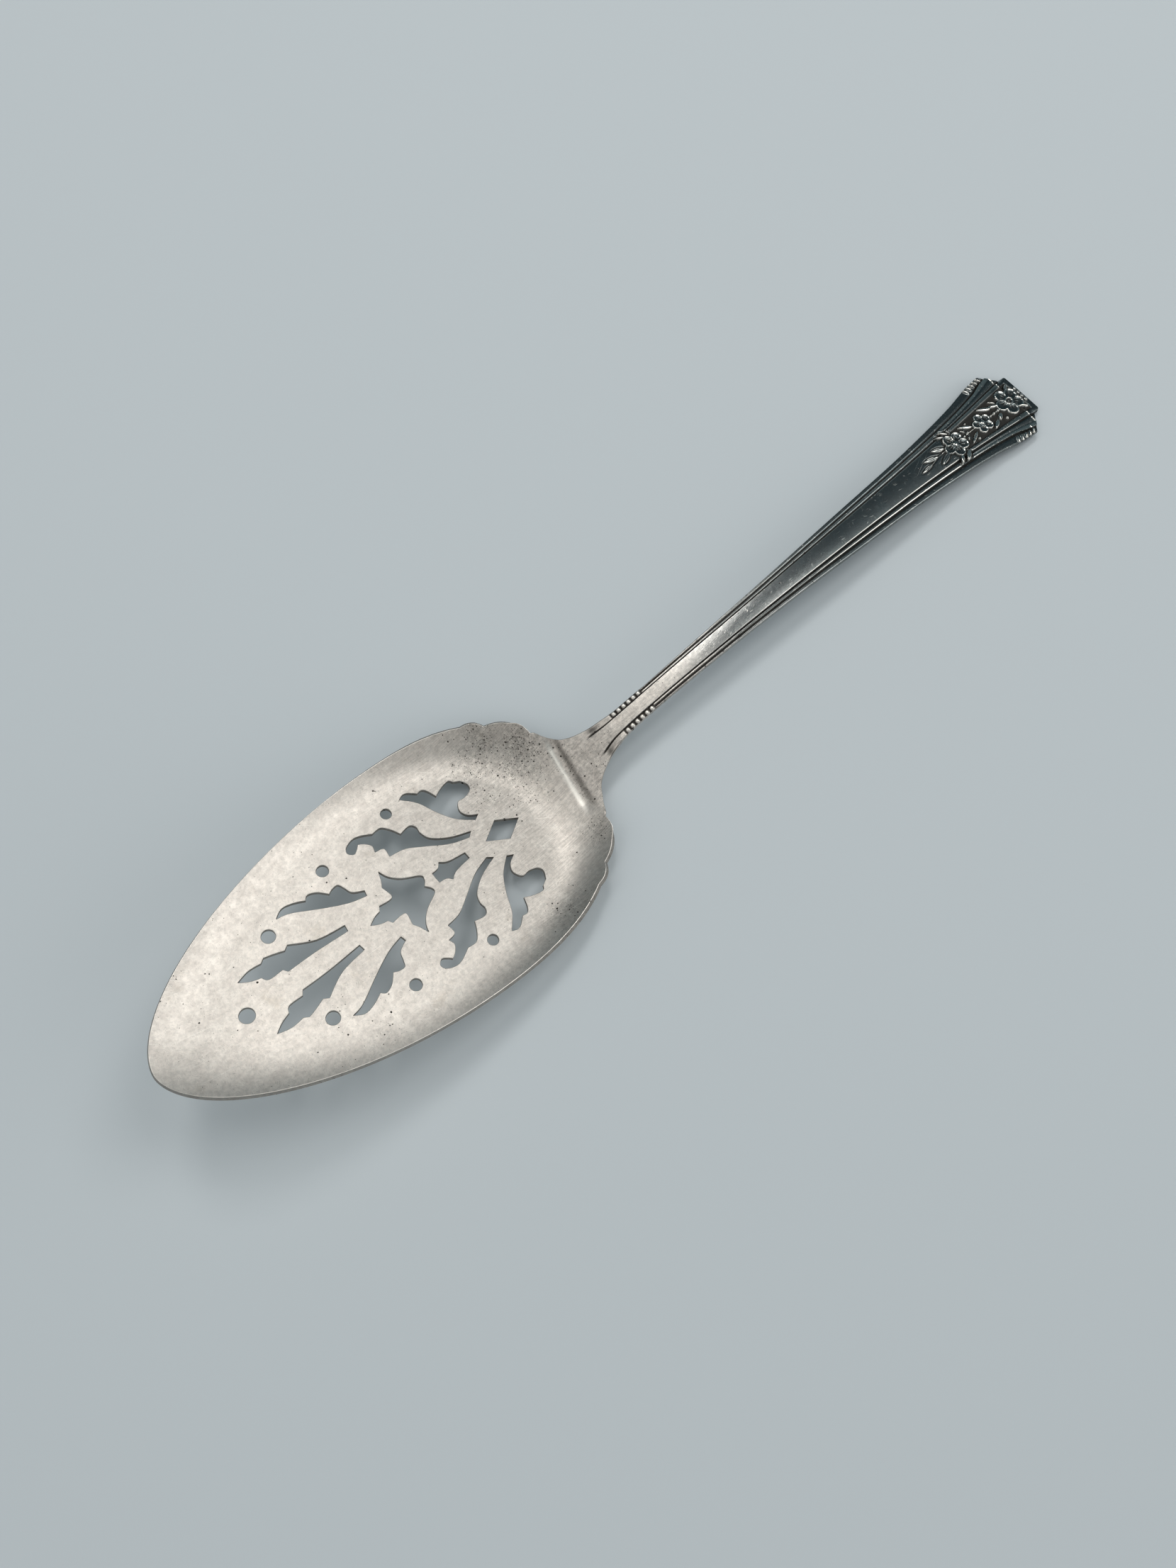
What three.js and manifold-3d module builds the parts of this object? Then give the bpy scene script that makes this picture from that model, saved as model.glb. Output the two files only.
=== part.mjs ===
// Pierced pie server in silver plate: a dished, leaf-shaped blade and a reeded, arched handle.
// Millimetres, +Z up. The server lies as it does on a table, on the heel of the blade and the
// end of the handle. +X runs from the tip of the blade to the end of the handle, +Y is across.
// The blade is drawn on its own flat floor, measured along from the centre of the tip hole,
// across from the centre line, and up from the floor. It is then pitched onto the table.
import * as THREE from 'three';
import { mergeVertices } from 'three/addons/utils/BufferGeometryUtils.js';
import Module from 'manifold-3d';

// Blade outline. The shoulder notches are distances before the end of the heel; the last one is the joint.
const widestAt = 50;
const tipReach = 70.6;
const heelReach = 37.7;
const bladeHalfWidth = 29.1;
const tipFullness = 1.8;
const heelFullness = 2.45;
const shoulderNotches = [13.5, 8.9, 2.3];
const scallopBulges = [0.75, 1.8];
const notchNick = 0.15;

// Blade dish
const bladePitch = THREE.MathUtils.degToRad(16.1);
const sheetThickness = 1.2;
const rimWidth = 10.5;
const rimRise = [[-20.6, 3.5], [22, 1.9], [50, 2.7], [72, 4.8], [86, 5.6]];

// Blade piercings
const holeCircles = [[0, 0, 1.65], [12.8, 11, 1.5], [30, 16, 1.35], [48.8, 18.5, 1.25]];
const diamondAt = 66.9;
const diamondHalfLength = 4.8;
const diamondHalfWidth = 2.8;

// Each pierced leaf is a closed run of smooth stretches that meet in corners.
const leafNearTip = [
  [[26.4, 3.4], [20, 4.4], [14.7, 7.2]],
  [[14.7, 7.2], [13.6, 6.5]],
  [[13.6, 6.5], [11, 7.4], [9.3, 7.85]],
  [[9.3, 7.85], [8.3, 7.2]],
  [[8.3, 7.2], [5.4, 7.45], [2.4, 6.7]],
  [[2.4, 6.7], [4.4, 5.45], [6.7, 4.65]],
  [[6.7, 4.65], [7.6, 3.45], [10.9, 3.45]],
  [[10.9, 3.45], [11.6, 2.45]],
  [[11.6, 2.45], [18, 2.45], [26.2, 1.95]],
];
const leafMiddle = [
  [[34.3, 7.05], [32, 8.3], [31.25, 10.2], [30.6, 11.5], [29.2, 11.5], [28, 10.95]],
  [[28, 10.95], [26.2, 12.8], [24.3, 13.55], [23.3, 12.75]],
  [[23.3, 12.75], [20.8, 13.9], [18.3, 14.3], [16.15, 13.1]],
  [[16.15, 13.1], [19.2, 12.4], [25, 9.25], [30, 6.85], [34, 5.8]],
];
const leafScroll = [
  [[61.1, 3.95], [56.5, 5.6], [53, 8], [52, 10.3], [52.1, 12], [51, 13.2], [48.4, 12.8]],
  [[48.4, 12.8], [47.3, 14.9], [45.7, 16.6], [43.5, 16.5]],
  [[43.5, 16.5], [41, 17.75], [39.2, 18.05], [37.2, 17.3], [36.55, 16], [37.6, 15], [38.8, 15.7],
    [39.5, 16.4]],
  [[39.5, 16.4], [40.8, 15.6], [41.8, 14.2], [41.4, 12.7]],
  [[41.4, 12.7], [43.4, 12.2], [43.3, 10]],
  [[43.3, 10], [47, 9.4], [51, 7.1], [55.5, 4.4], [59.8, 3]],
];
const leafHeel = [
  [[65, 6.15], [63, 7.4], [62.25, 9.3], [63.3, 11.25], [65.2, 11.2], [67.2, 11.9], [67.8, 13.3],
    [66.9, 15]],
  [[66.9, 15], [65.5, 15.7]],
  [[65.5, 15.7], [64.7, 16.6], [62.4, 16.2], [60.3, 15.25]],
  [[60.3, 15.25], [59.5, 17.4], [58.6, 18.4], [57.3, 18.3]],
  [[57.3, 18.3], [55.6, 19.65], [54.4, 19.95], [53.2, 19.5]],
  [[53.2, 19.5], [56, 16.4], [57.9, 12.2], [60.3, 8.3], [63.6, 5.45]],
];

// The flower and the bud lie on the centre line, so only their left half is drawn.
const flowerHalf = [
  [[30.5, 0], [32.4, 1], [34, 1.35]],
  [[34, 1.35], [34.6, 2.35]],
  [[34.6, 2.35], [37, 2.1], [38.1, 2.6], [37.6, 5.3]],
  [[37.6, 5.3], [38.4, 6.6], [39.2, 8.7]],
  [[39.2, 8.7], [40.1, 6.5], [42.2, 4.4], [45.7, 2.5], [45.9, 1.3], [44.9, 0]],
];
const budHalf = [
  [[48, 0], [48, 1.3]],
  [[48, 1.3], [49.8, 1.5], [50.8, 2.5]],
  [[50.8, 2.5], [52.6, 1.4], [56.8, 0.8]],
  [[56.8, 0.8], [56.8, 0]],
];

// Handle centre line, from the joint at the heel to the end of the handle
const jointGap = 0.05;
const heelBend = 1.7;
const rampLength = 8.4;
const rampAngle = THREE.MathUtils.degToRad(27.5);
const neckBend = 1.8;
const neckAngle = THREE.MathUtils.degToRad(10.5);
const neckReach = 16;
const archLength = 134.7;
const endAngle = THREE.MathUtils.degToRad(8.5);
const endReach = 55;

// Handle section, as half widths and thicknesses: near the neck at distances behind the joint,
// towards the flare at distances before the end
const edgeNeck = [[0.5, 12.75], [1.1, 12], [2, 10.5], [3.2, 8.85], [4.6, 7], [8.1, 4.9], [12, 3.7], [18, 2.95],
  [25, 2.9], [44, 3.3], [65, 4]];
const edgeFlare = [[62.6, 5], [40.6, 6.1], [25.6, 7.4], [17.6, 8.4], [9, 9.9], [0, 10.5]];
const stepNeck = [[0, 9], [5, 5.2], [9, 3.6], [14, 2.55], [20, 2.3], [46, 2.55]];
const stepFlare = [[42.6, 4.45], [22.6, 5.75], [10.6, 7.3], [5.6, 8.7], [0, 9.3]];
const panelNeck = [[0, 6], [5, 3.7], [9, 2.5], [14, 1.75], [20, 1.62], [46, 1.75]];
const panelFlare = [[72.6, 2.25], [42.6, 3.05], [22.6, 4.1]];
const thicknessNeck = [[6, 1.9], [14, 2.6], [40, 2.5]];
const thicknessFlare = [[58.6, 2.3]];
const endThickness = 2;
const reliefFadeStart = 5;
const reliefFadeEnd = 12;
const stepDrop = 0.3;
const grooveDepth = 0.2;
const grooveWidth = 0.24;
const edgeBevel = 0.12;
const backRounding = 0.5;

// Handle end, in plan
const endInset = 2;
const endCornerInset = 5.4;
const endCornerWidth = 10;
const endPanelWidth = 6.1;
const endPanelRound = 0.7;
const endStep = 0.2;

// Bead rows beside the neck, fluted corners and beaded end
const neckBeads = 6;
const neckBeadStart = 16.6;
const neckBeadPitch = 1.45;
const neckBeadRadius = 0.5;
const flutes = 5;
const fluteStart = 10.9;
const flutePitch = 1.22;
const fluteLength = 1.7;
const fluteRadius = 0.32;
const fluteLean = THREE.MathUtils.degToRad(35);
const endBeads = 4;
const endBeadPitch = 1.25;
const endBeadInset = 1.1;
const endBeadRadius = 0.4;

// Sunk frame near the end of the panel, with blossoms, leaves and buds standing up in it, all placed at
// distances before the end. Blossoms are [before, across, radius], buds the same,
// leaves [before, across, length, width, heading in degrees].
const frameStart = 23;
const frameEnd = 1;
const frameStartWidth = 3.2;
const frameEndWidth = 4.6;
const frameDepth = 0.25;
const frameSteps = 6;
const reliefHeight = 0.42;
const reliefSink = 0.14;
const blossomPetals = 5;
const petalReach = 0.62;
const petalLength = 0.72;
const petalWidth = 0.7;
const blossomEye = 0.6;
const blossoms = [[24.5, 0, 3.2], [14.8, -0.1, 2.7], [4.8, 0.2, 3.6]];
const leaves = [
  [35, -0.6, 3.6, 0.9, 4], [32.5, 0.7, 4, 1.1, -13], [29.3, 1.4, 3.8, 1.2, -25],
  [29.5, -1.5, 3.8, 1.3, 22], [26.4, 3.5, 2, 0.6, -28], [24.8, 3.9, 2.2, 0.6, -41],
  [26.2, -4, 2.4, 0.9, 48], [24.3, -4.2, 2.7, 1, 45], [19.3, 1.8, 3.8, 0.9, -30],
  [19.2, -1.9, 3.1, 0.8, 25], [11.9, 2.4, 3.5, 0.9, -33], [9.4, 1.6, 2.6, 0.7, -28],
  [12.2, -2.6, 2.5, 0.9, 29], [9.7, -1.8, 1.8, 0.9, 40], [2.3, 3.4, 2, 0.7, 45],
  [2.2, -3.2, 2, 0.7, -37],
];
const buds = [
  [21, 0, 0.35], [19.7, 0.25, 0.4], [11.7, 0, 0.32], [10.5, 0.1, 0.36], [9.2, 0, 0.38],
  [18.7, -2.7, 0.35], [8.8, -2.8, 0.3],
];

// Fineness of the curved surfaces
const sheetStepsAlong = 44;
const sheetStepsAcross = 20;
const outlineSteps = 26;
const curveSteps = 3;
const roundSteps = 9;
const beadSides = 6;
const beadRows = 4;
const handleStations = 62;
const slopeStep = 0.05;
const sheetMargin = 3;
const cutterDepth = 40;
const weld = 1e-4;

// Where the blade ends and the handle begins
const notchesAlong = shoulderNotches.map((before) => widestAt + heelReach - before);
const jointAt = notchesAlong.at(-1);

const wasm = await Module();
wasm.setup();

// Smooth value between listed stations, with level-seeking slopes so that it never overshoots.
function smoothValue(stations, at) {
  const last = stations.length - 1;
  const clamped = THREE.MathUtils.clamp(at, stations[0][0], stations[last][0]);
  const found = stations.findIndex((station) => station[0] >= clamped);
  const right = Math.max(found, 1);
  const [x0, y0] = stations[right - 1];
  const [x1, y1] = stations[right];
  const slope = (i) => {
    if (i <= 0 || i >= last) return null;
    const before = (stations[i][1] - stations[i - 1][1]) / (stations[i][0] - stations[i - 1][0]);
    const after = (stations[i + 1][1] - stations[i][1]) / (stations[i + 1][0] - stations[i][0]);
    return before * after <= 0 ? 0 : (2 * before * after) / (before + after);
  };
  const span = x1 - x0;
  const chord = (y1 - y0) / span;
  const m0 = slope(right - 1) ?? chord;
  const m1 = slope(right) ?? chord;
  const t = (clamped - x0) / span;
  const t2 = t * t;
  const t3 = t2 * t;
  return (2 * t3 - 3 * t2 + 1) * y0 + (t3 - 2 * t2 + t) * span * m0
    + (3 * t2 - 2 * t3) * y1 + (t3 - t2) * span * m1;
}

// A closed geometry as a solid that can be joined and cut
function solidFrom(geometry) {
  const bare = geometry.clone();
  bare.deleteAttribute('normal');
  bare.deleteAttribute('uv');
  const merged = mergeVertices(bare, weld);
  return new wasm.Manifold(new wasm.Mesh({
    numProp: 3,
    vertProperties: new Float32Array(merged.attributes.position.array),
    triVerts: new Uint32Array(merged.index.array),
  }));
}

function geometryFrom(solid) {
  const mesh = solid.getMesh();
  const geometry = new THREE.BufferGeometry();
  geometry.setAttribute('position', new THREE.BufferAttribute(new Float32Array(mesh.vertProperties), 3));
  geometry.setIndex(new THREE.BufferAttribute(new Uint32Array(mesh.triVerts), 1));
  geometry.computeVertexNormals();
  return geometry;
}

// Closed skin over rings of points that all run the same way round, with flat caps
function loft(rings) {
  const count = rings[0].length;
  const index = [];
  for (let ring = 0; ring < rings.length - 1; ring += 1) {
    for (let point = 0; point < count; point += 1) {
      const a = ring * count + point;
      const b = ring * count + ((point + 1) % count);
      index.push(a, b, b + count, a, b + count, a + count);
    }
  }
  const cap = (ring, facing) => {
    const flat = rings[ring].map((p) => new THREE.Vector2(p.y, p.z));
    THREE.ShapeUtils.triangulateShape(flat, []).forEach((face) => {
      const turned = THREE.ShapeUtils.area(face.map((i) => flat[i])) * facing < 0;
      const [a, b, c] = face.map((i) => ring * count + i);
      index.push(a, turned ? c : b, turned ? b : c);
    });
  };
  cap(0, -1);
  cap(rings.length - 1, 1);
  const geometry = new THREE.BufferGeometry();
  const position = rings.flat().flatMap((p) => [p.x, p.y, p.z]);
  geometry.setAttribute('position', new THREE.Float32BufferAttribute(position, 3));
  geometry.setIndex(index);
  return geometry;
}

// Straight cutter through the sheet, square to the floor
function cutter(shape) {
  const geometry = new THREE.ExtrudeGeometry(shape, {
    depth: cutterDepth, bevelEnabled: false, curveSegments: curveSteps,
  });
  geometry.translate(0, 0, -cutterDepth / 2);
  return solidFrom(geometry);
}

// How far out a place on the blade lies: 0 in the middle, 1 on the plain outline
function outwardness(along, across) {
  const offset = along - widestAt;
  const reach = offset < 0 ? tipReach : heelReach;
  const fullness = offset < 0 ? tipFullness : heelFullness;
  const sum = (Math.abs(offset) / reach) ** fullness + (Math.abs(across) / bladeHalfWidth) ** fullness;
  return sum ** (1 / fullness);
}

// Height of the blade's upper face: a flat floor with a rim that curves up
function dishHeight(along, across) {
  const floorEdge = 1 - rimWidth / bladeHalfWidth;
  const climb = Math.max(0, (outwardness(along, across) - floorEdge) / (1 - floorEdge));
  return smoothValue(rimRise, along) * climb * climb;
}

function dishNormal(along, across) {
  const rise = (stepAlong, stepAcross) => dishHeight(along + stepAlong, across + stepAcross);
  const slopeAlong = (rise(slopeStep, 0) - rise(-slopeStep, 0)) / (2 * slopeStep);
  const slopeAcross = (rise(0, slopeStep) - rise(0, -slopeStep)) / (2 * slopeStep);
  return new THREE.Vector3(-slopeAlong, -slopeAcross, 1).normalize();
}

// Dished sheet, larger than the blade all round
function dishedSheet() {
  const first = widestAt - tipReach - sheetMargin;
  const last = jointAt + sheetMargin;
  const halfWidth = bladeHalfWidth + sheetMargin;
  const rings = [];
  for (let i = 0; i <= sheetStepsAlong; i += 1) {
    const along = THREE.MathUtils.lerp(first, last, i / sheetStepsAlong);
    const upper = [];
    for (let j = 0; j <= sheetStepsAcross; j += 1) {
      const across = THREE.MathUtils.lerp(halfWidth, -halfWidth, j / sheetStepsAcross);
      upper.push(new THREE.Vector3(along, across, dishHeight(along, across)));
    }
    const lower = upper.map((p) => p.clone().addScaledVector(dishNormal(p.x, p.y), -sheetThickness));
    rings.push([...upper, ...lower.reverse()]);
  }
  return solidFrom(loft(rings));
}

// Half width of the plain outline behind the widest place
function heelHalfWidth(along) {
  const share = 1 - ((along - widestAt) / heelReach) ** heelFullness;
  return bladeHalfWidth * share ** (1 / heelFullness);
}

// Half width of the blade and the handle where they meet
function jointHalfWidth() {
  return heelHalfWidth(jointAt) - notchNick;
}

// Left half of the outline, from the tip round to the joint, with a scallop between each two notches
function halfOutline() {
  const points = [];
  for (let i = 0; i < outlineSteps; i += 1) {
    const angle = (i / outlineSteps) * (Math.PI / 2);
    const along = widestAt - tipReach * Math.cos(angle) ** (2 / tipFullness);
    points.push(new THREE.Vector2(along, bladeHalfWidth * Math.sin(angle) ** (2 / tipFullness)));
  }
  const heelSteps = Math.round(outlineSteps / 2);
  for (let i = 0; i < heelSteps; i += 1) {
    const along = THREE.MathUtils.lerp(widestAt, notchesAlong[0], i / heelSteps);
    points.push(new THREE.Vector2(along, heelHalfWidth(along)));
  }
  const notches = notchesAlong.map((along, i) => new THREE.Vector2(
    along, heelHalfWidth(along) - (i > 0 ? notchNick : 0)));
  scallopBulges.forEach((bulge, i) => {
    const [from, to] = notches.slice(i, i + 2);
    const outward = new THREE.Vector2(from.y - to.y, to.x - from.x).normalize();
    const control = from.clone().lerp(to, 0.5).addScaledVector(outward, 2 * bulge);
    points.push(...new THREE.QuadraticBezierCurve(from, control, to).getPoints(roundSteps).slice(0, -1));
  });
  points.push(notches.at(-1));
  return points;
}

function mirrored(points) {
  return points.map((p) => new THREE.Vector2(p.x, -p.y)).reverse();
}

function stretchPoints(stretches) {
  return stretches.flatMap((stretch) => {
    const spline = new THREE.SplineCurve(stretch.map((p) => new THREE.Vector2(...p)));
    const bends = stretch.length > 2 ? (stretch.length - 1) * curveSteps : 1;
    return spline.getPoints(bends);
  });
}

function withoutRepeats(points) {
  return points.filter((p, i) => p.distanceTo(points[(i + 1) % points.length]) > weld);
}

function piercings() {
  const shapes = [];
  for (const [along, across, radius] of holeCircles) {
    for (const side of across > 0 ? [1, -1] : [1]) {
      const shape = new THREE.Shape();
      shape.absarc(along, across * side, radius, 0, 2 * Math.PI);
      shapes.push(new THREE.Shape(shape.getPoints(roundSteps).slice(0, -1)));
    }
  }
  for (const leaf of [leafNearTip, leafMiddle, leafScroll, leafHeel]) {
    const points = withoutRepeats(stretchPoints(leaf));
    shapes.push(new THREE.Shape(points), new THREE.Shape(mirrored(points)));
  }
  for (const half of [flowerHalf, budHalf]) {
    const points = stretchPoints(half);
    shapes.push(new THREE.Shape(withoutRepeats([...points, ...mirrored(points)])));
  }
  shapes.push(new THREE.Shape([
    new THREE.Vector2(diamondAt - diamondHalfLength, 0),
    new THREE.Vector2(diamondAt, diamondHalfWidth),
    new THREE.Vector2(diamondAt + diamondHalfLength, 0),
    new THREE.Vector2(diamondAt, -diamondHalfWidth),
  ]));
  return shapes;
}

// The blade on its floor: the sheet trimmed to the outline and pierced
function bladeSolid() {
  const half = halfOutline();
  const outline = new THREE.Shape(withoutRepeats([...half, ...mirrored(half)]));
  let solid = dishedSheet().intersect(cutter(outline));
  for (const shape of piercings()) {
    solid = solid.subtract(cutter(shape));
  }
  return solid;
}

// From the blade's floor to the table
function onTable(along, across, up, lift) {
  const point = new THREE.Vector3(along, across, up).applyAxisAngle(new THREE.Vector3(0, 1, 0), bladePitch);
  point.z += lift;
  return point;
}

// Centre line of the handle's upper face: round the heel, up the ramp, round the neck, over the arch
function handleSpine(start) {
  const point = (from, reach, angle) => new THREE.Vector2(
    from.x + reach * Math.cos(angle), from.y + reach * Math.sin(angle));
  const jointNormal = dishNormal(jointAt, 0);
  const jointAngle = Math.atan2(-jointNormal.x, jointNormal.z) - bladePitch;
  const heel = point(start, heelBend, jointAngle);
  const rampFoot = point(heel, heelBend, rampAngle);
  const rampTop = point(rampFoot, rampLength, rampAngle);
  const bend = point(rampTop, neckBend, rampAngle);
  const neck = point(bend, neckBend, neckAngle);
  const end = new THREE.Vector2(neck.x + archLength, endThickness);
  const spine = new THREE.CurvePath();
  spine.add(new THREE.QuadraticBezierCurve(start, heel, rampFoot));
  spine.add(new THREE.LineCurve(rampFoot, rampTop));
  spine.add(new THREE.QuadraticBezierCurve(rampTop, bend, neck));
  spine.add(new THREE.CubicBezierCurve(
    neck, point(neck, neckReach, neckAngle), point(end, -endReach, -endAngle), end));
  return spine;
}

// Half widths and thickness along the whole handle, from the blade's own at the joint to the end
function handleTapers(length) {
  const joined = (neck, flare) => [...neck, ...flare.map(([before, value]) => [length - before, value])];
  const jointThickness = sheetThickness / dishNormal(jointAt, 0).z;
  return {
    edge: joined([[0, jointHalfWidth()], ...edgeNeck], edgeFlare),
    step: joined(stepNeck, stepFlare),
    panel: joined(panelNeck, [...panelFlare, [0, endPanelWidth]]),
    thickness: joined([[0, jointThickness], ...thicknessNeck], [...thicknessFlare, [0, endThickness]]),
  };
}

// Right half of the upper face at a distance behind the joint, as [across, drop] pairs from the middle out
function upperProfile(distance, tapers) {
  const panel = smoothValue(tapers.panel, distance);
  const step = smoothValue(tapers.step, distance);
  const edge = smoothValue(tapers.edge, distance);
  const fade = THREE.MathUtils.smoothstep(distance, reliefFadeStart, reliefFadeEnd);
  const drop = stepDrop * fade;
  const groove = grooveDepth * fade;
  return [
    [0, 0],
    [panel / 2, 0],
    [panel - edgeBevel, 0],
    [panel, drop + groove],
    [panel + grooveWidth / 2, drop + groove],
    [panel + grooveWidth, drop],
    [step - edgeBevel, drop],
    [step, 2 * drop + groove],
    [step + grooveWidth / 2, 2 * drop + groove],
    [step + grooveWidth, 2 * drop],
    [edge - edgeBevel, 2 * drop],
    [edge, 2 * drop + edgeBevel],
  ];
}

// Closed ring round the handle at one place on its spine, leaning with the blade at the joint
function handleRing(centre, distance, tapers, dish) {
  const thickness = smoothValue(tapers.thickness, distance);
  const edge = smoothValue(tapers.edge, distance);
  const fade = 1 - THREE.MathUtils.smoothstep(distance, 0, reliefFadeStart);
  const lean = bladePitch * (1 - THREE.MathUtils.smoothstep(distance, 0, reliefFadeEnd));
  const rounding = Math.min(backRounding, thickness / 2);
  const upper = upperProfile(distance, tapers).map(([across, drop]) => [across, dish(across) * fade - drop]);
  const right = [
    ...upper,
    [edge, dish(edge) * fade - thickness + rounding],
    [edge - rounding, dish(edge) * fade - thickness],
    [edge / 2, dish(edge / 2) * fade - thickness],
    [0, -thickness],
  ];
  const left = right.slice(1, -1).map(([across, height]) => [-across, height]);
  return [...right.reverse(), ...left].map(([across, height]) => new THREE.Vector3(
    centre.x + height * Math.sin(lean), across, centre.y + height * Math.cos(lean)));
}

// Plan of the stepped end of the handle, as a cutter over the whole handle
function endPlan(startX, endX) {
  const half = [
    [startX - sheetMargin, -bladeHalfWidth],
    [endX - endCornerInset, -bladeHalfWidth],
    [endX - endCornerInset, -endCornerWidth],
    [endX - endInset, -endPanelWidth - endStep],
    [endX - endInset, -endPanelWidth],
    [endX - endPanelRound, -endPanelWidth],
    [endX, -endPanelWidth + endPanelRound],
  ].map((p) => new THREE.Vector2(...p));
  return cutter(new THREE.Shape([...half, ...mirrored(half)]));
}

// Place on the handle's upper face at a distance behind the joint, with the slope there
function onSpine(centres, distance) {
  const along = centres[0].x + distance;
  const next = centres.findIndex((centre, i) => i > 0 && centre.x >= along);
  const [from, to] = centres.slice(next - 1, next + 1);
  const share = THREE.MathUtils.inverseLerp(from.x, to.x, along);
  return { point: from.clone().lerp(to, share), slope: Math.atan2(to.y - from.y, to.x - from.x) };
}

// Rounded swelling on the handle, longer one way than the other
function swelling(place, across, sink, [length, width, height], heading) {
  const geometry = new THREE.SphereGeometry(1, beadSides, beadRows);
  geometry.rotateX(Math.PI / 2);
  geometry.scale(length / 2, width / 2, height);
  geometry.rotateZ(heading);
  geometry.rotateY(-place.slope);
  geometry.translate(place.point.x, across, place.point.y - sink);
  return solidFrom(geometry);
}

function neckBeadRows(at, edge) {
  const size = [2 * neckBeadRadius, 2 * neckBeadRadius, neckBeadRadius];
  const beads = [];
  for (let i = 0; i < neckBeads; i += 1) {
    const distance = neckBeadStart + i * neckBeadPitch;
    const across = smoothValue(edge, distance) - neckBeadRadius;
    for (const side of [1, -1]) {
      beads.push(swelling(at(distance), side * across, 2 * stepDrop, size, 0));
    }
  }
  return beads;
}

function cornerFlutes(at, edge, length) {
  const size = [fluteLength, 2 * fluteRadius, fluteRadius];
  const pieces = [];
  for (let i = 0; i < flutes; i += 1) {
    const distance = length - fluteStart + i * flutePitch;
    const across = smoothValue(edge, distance) - fluteLength / 2;
    for (const side of [1, -1]) {
      const heading = side * (Math.PI / 2 + fluteLean);
      pieces.push(swelling(at(distance), side * across, 2 * stepDrop, size, heading));
    }
  }
  return pieces;
}

function endBeadRow(at, length) {
  const size = [2 * endBeadRadius, 2 * endBeadRadius, endBeadRadius];
  const place = at(length - endBeadInset);
  const beads = [];
  for (let i = 0; i < endBeads; i += 1) {
    const across = (i - (endBeads - 1) / 2) * endBeadPitch;
    beads.push(swelling(place, across, reliefSink, size, 0));
  }
  return beads;
}

function blossom(before, [end, across, radius]) {
  const eye = blossomEye * radius;
  const petal = [petalLength * radius, petalWidth * radius, reliefHeight];
  const pieces = [swelling(before(end), across, 0, [eye, eye, reliefHeight], 0)];
  for (let i = 0; i < blossomPetals; i += 1) {
    const angle = (i / blossomPetals) * 2 * Math.PI + Math.PI;
    const out = Math.cos(angle) * petalReach * radius;
    const aside = Math.sin(angle) * petalReach * radius;
    pieces.push(swelling(before(end - out), across + aside, reliefSink, petal, angle));
  }
  return pieces;
}

function floralRelief(before) {
  const pieces = blossoms.flatMap((flower) => blossom(before, flower));
  for (const [end, across, length, width, heading] of leaves) {
    const size = [length, width, reliefHeight];
    pieces.push(swelling(before(end), across, reliefSink, size, THREE.MathUtils.degToRad(heading)));
  }
  for (const [end, across, radius] of buds) {
    pieces.push(swelling(before(end), across, reliefSink, [2 * radius, 2 * radius, reliefHeight], 0));
  }
  return pieces;
}

// Shallow trapezium cut into the panel, following its slope
function frameRecess(before) {
  const rings = [];
  for (let i = 0; i <= frameSteps; i += 1) {
    const share = i / frameSteps;
    const { point } = before(THREE.MathUtils.lerp(frameStart, frameEnd, share));
    const half = THREE.MathUtils.lerp(frameStartWidth, frameEndWidth, share);
    const corners = [[half, -frameDepth], [half, frameDepth], [-half, frameDepth], [-half, -frameDepth]];
    rings.push(corners.map(([across, height]) => new THREE.Vector3(point.x, across, point.y + height)));
  }
  return solidFrom(loft(rings));
}

function handleSolid(joint, dish) {
  const spine = handleSpine(joint);
  const end = spine.getPointAt(1);
  const length = end.x - joint.x;
  const tapers = handleTapers(length);
  const centres = spine.getSpacedPoints(handleStations);
  const at = (distance) => onSpine(centres, distance);
  const before = (distance) => at(length - distance);
  const rings = centres.map((centre) => handleRing(centre, centre.x - joint.x, tapers, dish));
  const plain = solidFrom(loft(rings)).intersect(endPlan(joint.x, end.x)).subtract(frameRecess(before));
  const ornament = [
    ...neckBeadRows(at, tapers.edge),
    ...cornerFlutes(at, tapers.edge, length),
    ...endBeadRow(at, length),
    ...floralRelief(before),
  ];
  return ornament.reduce((body, piece) => body.add(piece), plain);
}

const silver = { color: 0xb9b2a6, metalness: 1, roughness: 0.34 };
const oldSilver = { color: 0x8f8d86, metalness: 1, roughness: 0.3 };

const bladeGeometry = geometryFrom(bladeSolid());
bladeGeometry.rotateY(bladePitch);
bladeGeometry.computeBoundingBox();
const bladeLift = -bladeGeometry.boundingBox.min.z;
bladeGeometry.translate(0, 0, bladeLift);

const jointHeight = dishHeight(jointAt, 0);
const jointTop = onTable(jointAt + jointGap, 0, jointHeight, bladeLift);
const dishAtJoint = (across) => dishHeight(jointAt, across) - jointHeight;
const handleGeometry = geometryFrom(handleSolid(new THREE.Vector2(jointTop.x, jointTop.z), dishAtJoint));

const blade = new THREE.Mesh(bladeGeometry, new THREE.MeshStandardMaterial(silver));
blade.name = 'blade';
const handle = new THREE.Mesh(handleGeometry, new THREE.MeshStandardMaterial(oldSilver));
handle.name = 'handle';

// The origin is on the table, under the middle of the whole server.
const server = new THREE.Group();
server.add(blade, handle);
const box = new THREE.Box3().setFromObject(server);
const middle = box.getCenter(new THREE.Vector3());
server.position.set(-middle.x, -middle.y, -box.min.z);

export default server;
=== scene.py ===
import math

import bmesh
import bpy
import numpy as np
from mathutils import Euler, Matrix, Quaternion, Vector


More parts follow.
